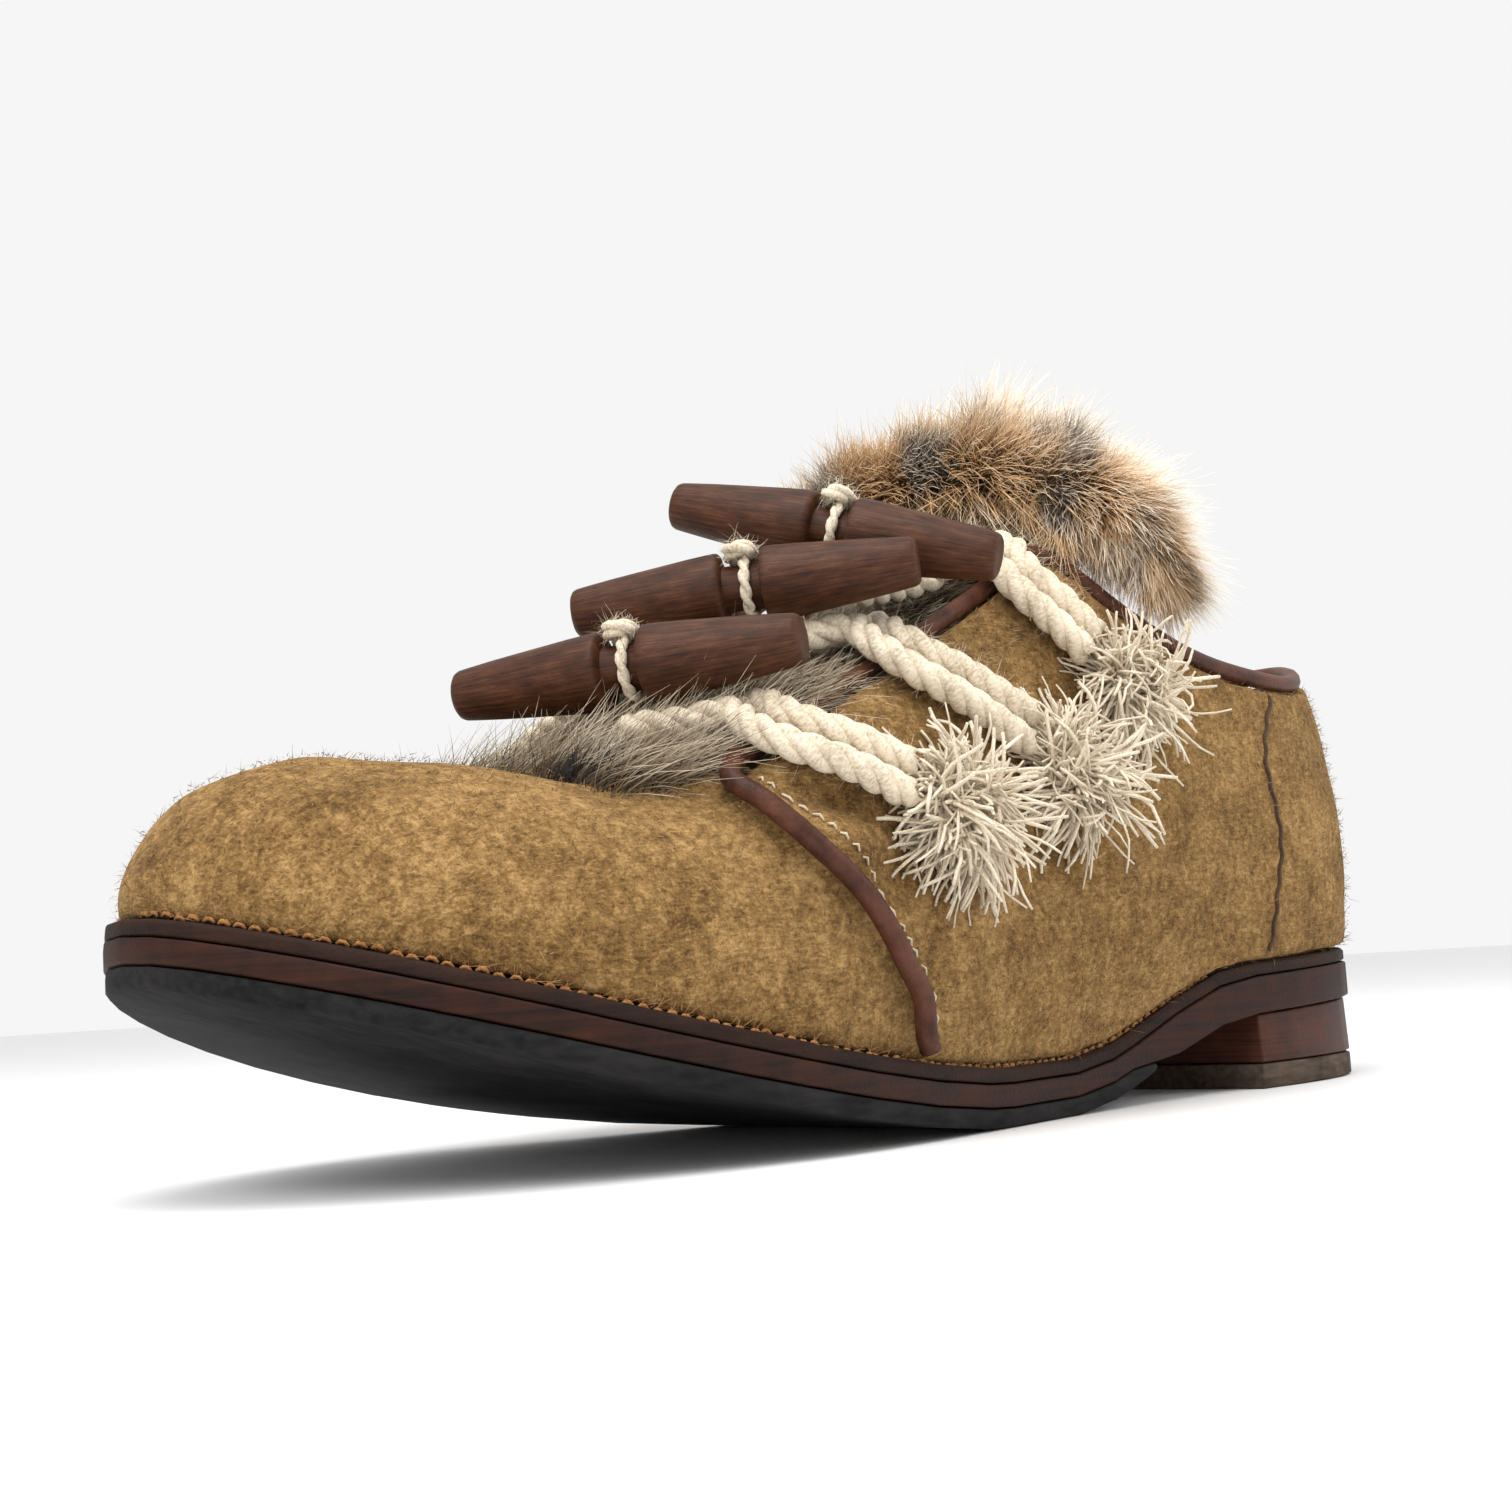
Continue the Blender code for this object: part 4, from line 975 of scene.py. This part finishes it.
@dataclass
class EdgeBinding:
    """Leather binding round the quarters and collar, with cream stitches behind it."""

    upper: FeltUpper
    step: float = 0.0016
    stitch_step: float = 0.0030
    stitch_set: float = 0.0034
    stitch_set_low: float = 0.0020
    stitch_reach: float = 0.006
    inner: Triple = (-0.090, 0.0, 0.020)
    tail: float = 0.0030

    def build(self) -> None:
        """Makes the rolled binding along the frame's tube."""
        centres, radii = tube_line("edge_binding")

        def beyond(end: np.ndarray, before: np.ndarray) -> np.ndarray:
            """A point past an end of the line."""
            return end + (end - before) / np.linalg.norm(end - before) * self.tail

        centres = np.vstack([beyond(centres[0], centres[2]), centres, beyond(centres[-1], centres[-3])])
        line = spread(centres, self.step)
        mesh = tube_mesh("leather_binding", [(line, np.full(len(line), float(np.median(radii))))], 12)
        finish = LeatherFinish("chestnut binding leather", (0.045, 0.016, 0.010), (0.125, 0.046, 0.026),
                               0.42, 0.00015)
        place_piece(mesh, finish.material(), "binding", "edge_binding")
        self.stitches(line)

    def stitches(self, line: np.ndarray) -> None:
        """Small stitches in the felt beside the binding.

        Args:
            line: The binding's middle line.
        """
        run = ways_along(line)
        upright = np.array([1.0, 0.0, 1.0])
        lines = []
        gone = 0.0
        for i in range(2, len(line) - 2):
            gone += self.step
            if gone < self.stitch_step:
                continue
            gone = 0.0
            toward = (np.array(self.inner) - line[i]) * upright
            side = np.cross(run[i], np.array([0.0, math.copysign(1.0, line[i][1]), 0.0]))
            side /= max(np.linalg.norm(side), 1e-9)
            side = side if side @ toward > 0 else -side
            low = min(max((0.068 - line[i][2]) / 0.016, 0.0), 1.0) * (line[i][0] < -0.12)
            middle = line[i] + side * (self.stitch_set + self.stitch_set_low * low)
            ends = [self.upper.on_felt(middle + run[i] * 0.0010 * s + side * 0.0007 * (s == 0), 0.0002)
                    for s in (-1, 0, 1)]
            if max(np.linalg.norm(e - middle) for e in ends) < self.stitch_reach:
                lines.append((np.array(ends), np.array([0.00022, 0.00030, 0.00022])))
        finish = CottonFinish("cream stitching thread", (0.35, 0.24, 0.13), (0.72, 0.60, 0.42))
        place_piece(tube_mesh("binding_stitches", lines, 5), finish.material(), "rope")


@dataclass
class ToggleClosure:
    """Three turned toggles, their doubled twisted ropes and the frayed ends."""

    length: float = 0.064
    radius: float = 0.0070
    waist: float = 0.0043
    plies: int = 3
    pitch: float = 0.0150
    profile: tuple[tuple[float, float], ...] = (
        (0.0, 0.0), (0.0, 0.40),
        (0.000, 0.52), (0.006, 0.60), (0.016, 0.645), (0.040, 0.675), (0.120, 0.76), (0.200, 0.83),
        (0.270, 0.89), (0.340, 0.95), (0.400, 0.99), (0.424, 1.00), (0.434, 0.985), (0.440, 0.93),
        (0.4425, 0.70), (0.446, 0.625), (0.470, 0.600), (0.500, 0.595),
    )
    turned_steps: int = 40
    fibres_each: int = 1100
    threads: int = 560
    bunches: int = 8
    thread_steps: int = 7
    thread_gap: float = 0.0005
    thread_length: tuple[float, float] = (0.0085, 0.0190)
    thread_radius: tuple[float, float] = (0.00020, 0.00042)
    hang: Triple = (0.25, 0.0, -1.0)

    def toggle(self, node: str, wood: bpy.types.Material) -> None:
        """Turns one toggle in place of the frame's.

        Args:
            node: The toggle's name.
            wood: Its finish.
        """
        middle, way = middle_and_way(node)
        rows = list(self.profile) + [(1.0 - a, r) for a, r in self.profile[-2::-1]]
        bm = bmesh.new()
        verts = [bm.verts.new((r * self.radius, 0.0, (a - 0.5) * self.length)) for a, r in rows]
        edges = [bm.edges.new(pair) for pair in zip(verts, verts[1:])]
        bmesh.ops.spin(bm, geom=verts + edges, cent=(0, 0, 0), axis=(0, 0, 1), dvec=(0, 0, 0),
                       angle=math.tau, steps=self.turned_steps, use_merge=True, use_duplicate=False)
        bmesh.ops.remove_doubles(bm, verts=bm.verts, dist=1e-6)
        bmesh.ops.recalc_face_normals(bm, faces=bm.faces)
        layer = bm.loops.layers.uv.new("along")
        for face in bm.faces:
            angles = [math.atan2(loop.vert.co.y, loop.vert.co.x) / math.tau for loop in face.loops]
            wrap = max(angles) - min(angles) > 0.5
            for loop, angle in zip(face.loops, angles):
                loop[layer].uv = (loop.vert.co.z / self.length, angle + 1.0 if wrap and angle < 0 else angle)
        place = Matrix.Translation(middle) @ way.to_track_quat("Z", "Y").to_matrix().to_4x4()
        bmesh.ops.transform(bm, matrix=place, verts=bm.verts)
        piece = place_piece(to_mesh(node + "_turned", bm), wood, "wood", node)
        piece.data.set_sharp_from_angle(angle=math.radians(45))

    def rope(self, node: str, cotton: bpy.types.Material) -> None:
        """Twists one doubled rope along the frame's tube.

        Args:
            node: The rope's name.
            cotton: Its finish.
        """
        centres, radii = tube_line(node)
        both = spread(np.hstack([centres, radii[:, None]]), 0.0011)
        line, radius = both[:, :3], both[:, 3]
        one, two = frames_along(line)
        gone = gone_along(line)
        lines = []
        for ply in range(self.plies):
            turn = gone / self.pitch * math.tau + ply * math.tau / self.plies
            off = 0.50 * radius[:, None] * (np.cos(turn)[:, None] * one + np.sin(turn)[:, None] * two)
            lines.append((line + off, 0.54 * radius))
        place_piece(tube_mesh(node + "_twisted", lines, 9), cotton, "rope", node)

    def wraps(self, cotton: bpy.types.Material) -> None:
        """A turn of thin twine in the groove of each toggle.

        Args:
            cotton: Their finish.
        """
        turns = np.linspace(0, math.tau, 33)
        for number in (1, 2, 3):
            middle, way = middle_and_way(f"toggle_{number}")
            one = np.array(way.orthogonal().normalized())
            two = np.cross(np.array(way), one)
            lines = []
            for ply in range(2):
                twist = turns * 5 + ply * math.pi
                reach = self.waist + 0.0008 + 0.00045 * np.cos(twist)
                along = -0.0008 + 0.00045 * np.sin(twist)
                line = middle + reach[:, None] * (np.cos(turns)[:, None] * one + np.sin(turns)[:, None] * two)
                lines.append((line + along[:, None] * np.array(way), np.full(len(turns), 0.00070)))
            place_piece(tube_mesh(f"toggle_{number}_wrap", lines, 7), cotton, "rope")

    def fuzz(self) -> None:
        """Loose short fibres along all the ropes."""
        rng = np.random.default_rng(8)
        count = self.fibres_each
        roots, ways = [], []
        for number in (1, 2, 3):
            for side in ("lateral", "medial"):
                centres, radii = tube_line(f"rope_{side}_{number}")
                picked = rng.integers(0, len(centres) - 1, count)
                share = rng.uniform(0, 1, (count, 1))
                place = centres[picked] * (1 - share) + centres[picked + 1] * share
                way = rng.normal(0, 1, (count, 3))
                run = centres[picked + 1] - centres[picked]
                run /= np.maximum(np.linalg.norm(run, axis=1), 1e-9)[:, None]
                way = unit(way - run * np.sum(way * run, axis=1)[:, None])
                roots.append(place + way * radii[picked][:, None] * 0.9)
                ways.append(way + run * rng.normal(0, 0.8, (count, 1)))
        roots, ways = np.vstack(roots), unit(np.vstack(ways))
        count = len(roots)
        mesh = hair_mesh("rope_fuzz", roots, ways, rng.uniform(0.0006, 0.0022, count),
                         rng.normal(0, 0.5, (count, 3)), 0.00009, rng.uniform(0, 1, count), 3)
        finish = HairFinish("cotton fibres", (0.42, 0.33, 0.22), (0.58, 0.48, 0.35), (0.70, 0.60, 0.46),
                            (0.85, 0.77, 0.63))
        place_piece(mesh, finish.material(), "rope")

    def tuft(self, node: str, seed: int, upper: FeltUpper, yarn: bpy.types.Material) -> None:
        """Frays one rope end over the felt.

        Args:
            node: The tuft's name.
            seed: Seed of its threads.
            upper: The felt that it lies on.
            yarn: Finish of its threads.
        """
        rng = np.random.default_rng(seed)
        count, bunches = self.threads, self.bunches
        spot, out, _, _ = upper.surface.find_nearest(Vector(middle_and_way(node)[0]))
        spot, out = np.array(spot), np.array(out)
        down = np.array(self.hang)
        down -= out * (down @ out)
        down /= np.linalg.norm(down)
        aside = np.cross(out, down)
        middles = (np.arange(bunches) + rng.uniform(-0.25, 0.25, bunches)) * math.tau / bunches
        picked = rng.integers(0, bunches, count)
        angle = middles[picked] + rng.normal(0, 0.26, count)
        flat = np.cos(angle)[:, None] * down + np.sin(angle)[:, None] * aside
        lift = rng.uniform(0.0, 0.85, count)
        height = 0.0016 + 0.0040 * rng.uniform(0, 1, (count, 1))
        point = spot + out * height + flat * 0.0045 * rng.uniform(0, 1, (count, 1))
        stride = rng.uniform(*self.thread_length, count) * (1.0 + 0.18 * np.cos(angle)) / self.thread_steps
        way = unit(flat + out * lift[:, None])
        curl = rng.normal(0, 0.30, (count, 3)) + rng.normal(0, 0.18, (bunches, 3))[picked]
        paths = [point]
        for step in range(self.thread_steps):
            sink = out * (0.12 + 0.07 * step) * (lift > 0.2)[:, None]
            way = unit(way + curl + down * 0.13 - sink + rng.normal(0, 0.15, (count, 3)))
            point = point + way * stride[:, None]
            for i in range(count):
                near, normal, _, _ = upper.surface.find_nearest(Vector(point[i]))
                gap = (Vector(point[i]) - near).dot(normal)
                if gap < self.thread_gap:
                    point[i] += np.array(normal) * (self.thread_gap - gap)
            paths.append(point)
        taper = np.ones(self.thread_steps + 1)
        taper[-2:] = (0.95, 0.8)
        thick = rng.uniform(*self.thread_radius, count)
        lines = [(np.array([step[i] for step in paths]), thick[i] * taper) for i in range(count)]
        place_piece(tube_mesh(node + "_frayed", lines, 4), yarn, "rope", node)

    def build(self, upper: FeltUpper) -> None:
        """Makes the whole closure.

        Args:
            upper: The felt that the tufts lie on.
        """
        wood = WoodFinish().material()
        cotton = CottonFinish("twisted cotton rope").material()
        self.wraps(cotton)
        self.fuzz()
        frayed = CottonFinish("frayed cotton yarn", (0.430, 0.320, 0.195), (0.860, 0.760, 0.600), 0.3)
        yarn = frayed.material()
        for number in (1, 2, 3):
            self.toggle(f"toggle_{number}", wood)
            for side in ("lateral", "medial"):
                self.rope(f"rope_{side}_{number}", cotton)
                self.tuft(f"tuft_{side}_{number}", 20 + number + 10 * (side == "medial"), upper, yarn)


@dataclass
class FurTongue:
    """Rabbit fur of the tongue's front and of the ruff at its top."""

    front_tries: int = 45000
    ruff_count: int = 24000
    spine: tuple[Triple, ...] = (
        (-0.0980, 0.0310, 0.1190), (-0.0915, 0.0225, 0.1260), (-0.0855, 0.0110, 0.1300),
        (-0.0790, -0.0010, 0.1310), (-0.0715, -0.0130, 0.1300), (-0.0630, -0.0245, 0.1245),
        (-0.0550, -0.0320, 0.1160), (-0.0500, -0.0350, 0.1060),
    )
    core: float = 0.0062
    throat_half: float = 0.031
    throat_back: float = -0.075
    ruff_hair: tuple[float, float] = (0.0070, 0.0140)

    def sampled(self, node: str, count: int, rng: np.random.Generator) -> tuple[np.ndarray, np.ndarray]:
        """Random places on a solid of the frame.

        Args:
            node: Name of the solid.
            count: How many places.
            rng: Random generator.

        Returns:
            The places and their outward normals.
        """
        bm = merged_copy(node)
        bmesh.ops.triangulate(bm, faces=bm.faces)
        corners = np.array([[v.co[:] for v in face.verts] for face in bm.faces])
        normals = np.array([face.normal[:] for face in bm.faces])
        areas = np.array([face.calc_area() for face in bm.faces])
        bm.free()
        picked = rng.choice(len(areas), count, p=areas / areas.sum())
        a, b = rng.uniform(0, 1, (2, count))
        swap = a + b > 1
        a[swap], b[swap] = 1 - a[swap], 1 - b[swap]
        tri = corners[picked]
        places = tri[:, 0] + a[:, None] * (tri[:, 1] - tri[:, 0]) + b[:, None] * (tri[:, 2] - tri[:, 0])
        return places, normals[picked]

    def front(self) -> None:
        """Agouti fur in the throat, longer in front of the first toggle."""
        rng = np.random.default_rng(11)
        roots, normals = self.sampled("fur_tongue", self.front_tries, rng)
        inside = (np.abs(roots[:, 1]) < self.throat_half) & (roots[:, 0] < self.throat_back)
        keep = inside & (normals[:, 2] > 0.15)
        roots, normals = roots[keep], normals[keep]
        count = len(roots)
        forward = np.clip((-0.140 - roots[:, 0]) / 0.03, 0, 1)
        lengths = (0.006 + 0.013 * forward) * rng.uniform(0.55, 1.0, count)
        ways = unit(normals * 0.9 + np.array([0.25, -0.15, 0.45]) + rng.normal(0, 0.28, (count, 3)))
        bend = np.array([0.25, -0.35, -0.30]) + rng.normal(0, 0.2, (count, 3))
        clump = clumps(roots, (410.0, 530.0, 300.0), (-350.0, 260.0, 480.0))
        bend += 0.35 * clump[:, None] * np.array([0.6, -0.8, 0.1])
        shades = np.clip(0.32 + 0.35 * clump + rng.normal(0, 0.25, count), 0, 1)
        mesh = hair_mesh("throat_fur", roots, ways, lengths, bend, 0.00028, shades, 4)
        finish = HairFinish("grey rabbit fur", (0.018, 0.013, 0.009), (0.078, 0.052, 0.030),
                            (0.175, 0.122, 0.070), (0.620, 0.520, 0.380), (0.030, 0.026, 0.022), 0.2)
        place_piece(mesh, finish.material(), "fur")
        skin = HairFinish("tongue skin", (0.09, 0.06, 0.04), (0.14, 0.10, 0.07), (0.2, 0.15, 0.1),
                          (0.2, 0.15, 0.1))
        base = bpy.data.objects["fur_tongue"].data.materials
        base.clear()
        base.append(skin.material())

    def ruff(self) -> None:
        """Long tan and pale fur that folds out at the tongue's top."""
        rng = np.random.default_rng(12)
        count = self.ruff_count
        spine = spread(np.array(self.spine), 0.001)
        run = ways_along(spine)
        one, two = frames_along(spine)
        radius = self.core * np.sin(math.pi * np.linspace(0.02, 0.98, len(spine))) ** 0.5
        skin = HairFinish("ruff skin", (0.16, 0.11, 0.06), (0.2, 0.14, 0.08), (0.3, 0.2, 0.1),
                          (0.3, 0.2, 0.1))
        place_piece(tube_mesh("ruff_core", [(spine, radius)], 14), skin.material(), "fur", "fur_ruff")
        nearest = rng.integers(0, len(spine), count)
        share = nearest / (len(spine) - 1)
        turn = rng.uniform(0, math.tau, count)
        away = np.cos(turn)[:, None] * one[nearest] + np.sin(turn)[:, None] * two[nearest]
        shift = run[nearest] * rng.uniform(-0.0006, 0.0006, (count, 1))
        roots = spine[nearest] + away * radius[nearest][:, None] * 0.95 + shift
        end = np.clip((share - 0.62) / 0.33, 0, 1)[:, None]
        end = end * end * (3 - 2 * end)
        comb = (1 - end) * np.array([0.05, -0.10, 0.45]) + end * np.array([-0.05, -0.35, -1.0])
        under = np.clip(-away[:, 2], 0, 1)
        comb[:, 2] -= 0.8 * under * (1 - end[:, 0])
        last = np.clip((share - 0.93) / 0.07, 0, 1) - np.clip((0.07 - share) / 0.07, 0, 1)
        ways = unit(away + comb + 1.1 * last[:, None] * run[nearest] + rng.normal(0, 0.24, (count, 3)))
        tall = 1.0 + 0.32 * np.exp(-(((share - 0.50) / 0.07) ** 2)) + 0.12 * np.sin(share * 41.0)
        lengths = rng.uniform(*self.ruff_hair, count) * tall
        lengths *= (1.0 + 0.10 * under * (1 - end[:, 0])) * (1.0 - 0.25 * end[:, 0])
        clump = clumps(roots, (300.0, 420.0, 260.0), (-290.0, 210.0, 380.0))
        bend = np.array([0.06, -0.10, -0.22]) + rng.normal(0, 0.16, (count, 3))
        bend = bend + 0.70 * clump[:, None] * np.array([0.6, 0.5, 0.2])
        rim = np.clip(away[:, 2] + 0.25, 0, 1) * np.clip((roots[:, 0] + 0.100) / 0.02, 0, 1)
        shades = 0.08 + 0.85 * rim + 0.45 * end[:, 0] + 0.25 * clump + rng.normal(0, 0.20, count)
        shades = np.clip(shades, 0, 1)
        mesh = hair_mesh("ruff_fur", roots, ways, lengths, bend, 0.00030, shades, 4)
        finish = HairFinish("tan rabbit fur", (0.220, 0.145, 0.085), (0.560, 0.340, 0.150),
                            (0.720, 0.490, 0.265), (0.860, 0.760, 0.620), (0.165, 0.150, 0.145), 0.2)
        place_piece(mesh, finish.material(), "fur")


@dataclass
class Studio:
    """Pale floor, soft lights and the camera."""

    place: Triple = (-0.4148, -0.3103, 0.0288)
    turn: float = 31.69
    rise: float = -5.76
    roll: float = -2.42
    lens: float = 52.0
    sensor: float = 36.0
    sky: float = 0.92
    aim: Triple = (0.1762, 0.0111, -1.0)

    def camera(self) -> None:
        """Puts the camera at the photo's angle to the shoe."""
        data = bpy.data.cameras.new("camera")
        data.lens = self.lens
        data.sensor_width = self.sensor
        data.clip_start = 0.01
        camera = into_scene("camera", data)
        bpy.context.scene.camera = camera
        a, e = math.radians(-self.turn), math.radians(self.rise)
        back = Vector((math.sin(a) * math.cos(e), -math.cos(a) * math.cos(e), math.sin(e)))
        right = Vector((math.cos(a), math.sin(a), 0.0))
        up = back.cross(right)
        c, s = math.cos(math.radians(self.roll)), math.sin(math.radians(self.roll))
        right, up = right * c + up * s, up * c - right * s
        camera.rotation_mode = "QUATERNION"
        photo = Matrix((right, up, back)).transposed().to_quaternion()
        camera.rotation_quaternion = photo @ Vector((0, 0, -1)).rotation_difference(Vector(self.aim))
        camera.location = self.place

    def lights(self) -> None:
        """Soft lights from above and both sides."""
        world = bpy.data.worlds.new("studio")
        world.use_nodes = True
        sky = world.node_tree.nodes["Background"].inputs
        sky["Color"].default_value = (1.0, 1.0, 1.0, 1.0)
        sky["Strength"].default_value = self.sky
        bpy.context.scene.world = world
        bpy.context.scene.view_settings.view_transform = "Standard"
        for name, place, size, power in (
            ("top light", (-0.35, -0.20, 0.95), 0.7, 6.5),
            ("front light", (-0.95, -0.30, 0.80), 0.5, 4.5),
            ("side light", (0.60, -0.75, 0.55), 0.6, 2.5),
        ):
            data = bpy.data.lights.new(name, "AREA")
            data.shape = "DISK"
            data.size = size
            data.energy = power
            light = into_scene(name, data)
            light.location = place
            light.rotation_mode = "QUATERNION"
            light.rotation_quaternion = (Vector(place) - Vector((-0.12, 0.0, 0.05))).to_track_quat("Z", "Y")

    def floor(self) -> None:
        """A wide pale floor that the shoe stands on."""
        bm = bmesh.new()
        bmesh.ops.create_grid(bm, x_segments=1, y_segments=1, size=6.0)
        mesh = to_mesh("floor", bm)
        g = Graph("pale floor")
        g.set(Base_Color=(0.86, 0.86, 0.86), Roughness=0.6)
        mesh.materials.append(g.material)
        floor = into_scene("floor", mesh)


def main() -> None:
    """Dresses the shoe and sets up the studio."""
    logging.basicConfig(level=logging.INFO, format="%(name)s %(message)s")
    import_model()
    studio = Studio()
    studio.camera()
    sole = SoleUnit()
    sole.build()
    upper = FeltUpper()
    upper.build()
    sole.stitches(upper)
    upper.counter_seam()
    upper.nap()
    EdgeBinding(upper).build()
    ToggleClosure().build(upper)
    fur = FurTongue()
    fur.front()
    fur.ruff()
    studio.lights()
    studio.floor()


if __name__ == "__main__":
    main()
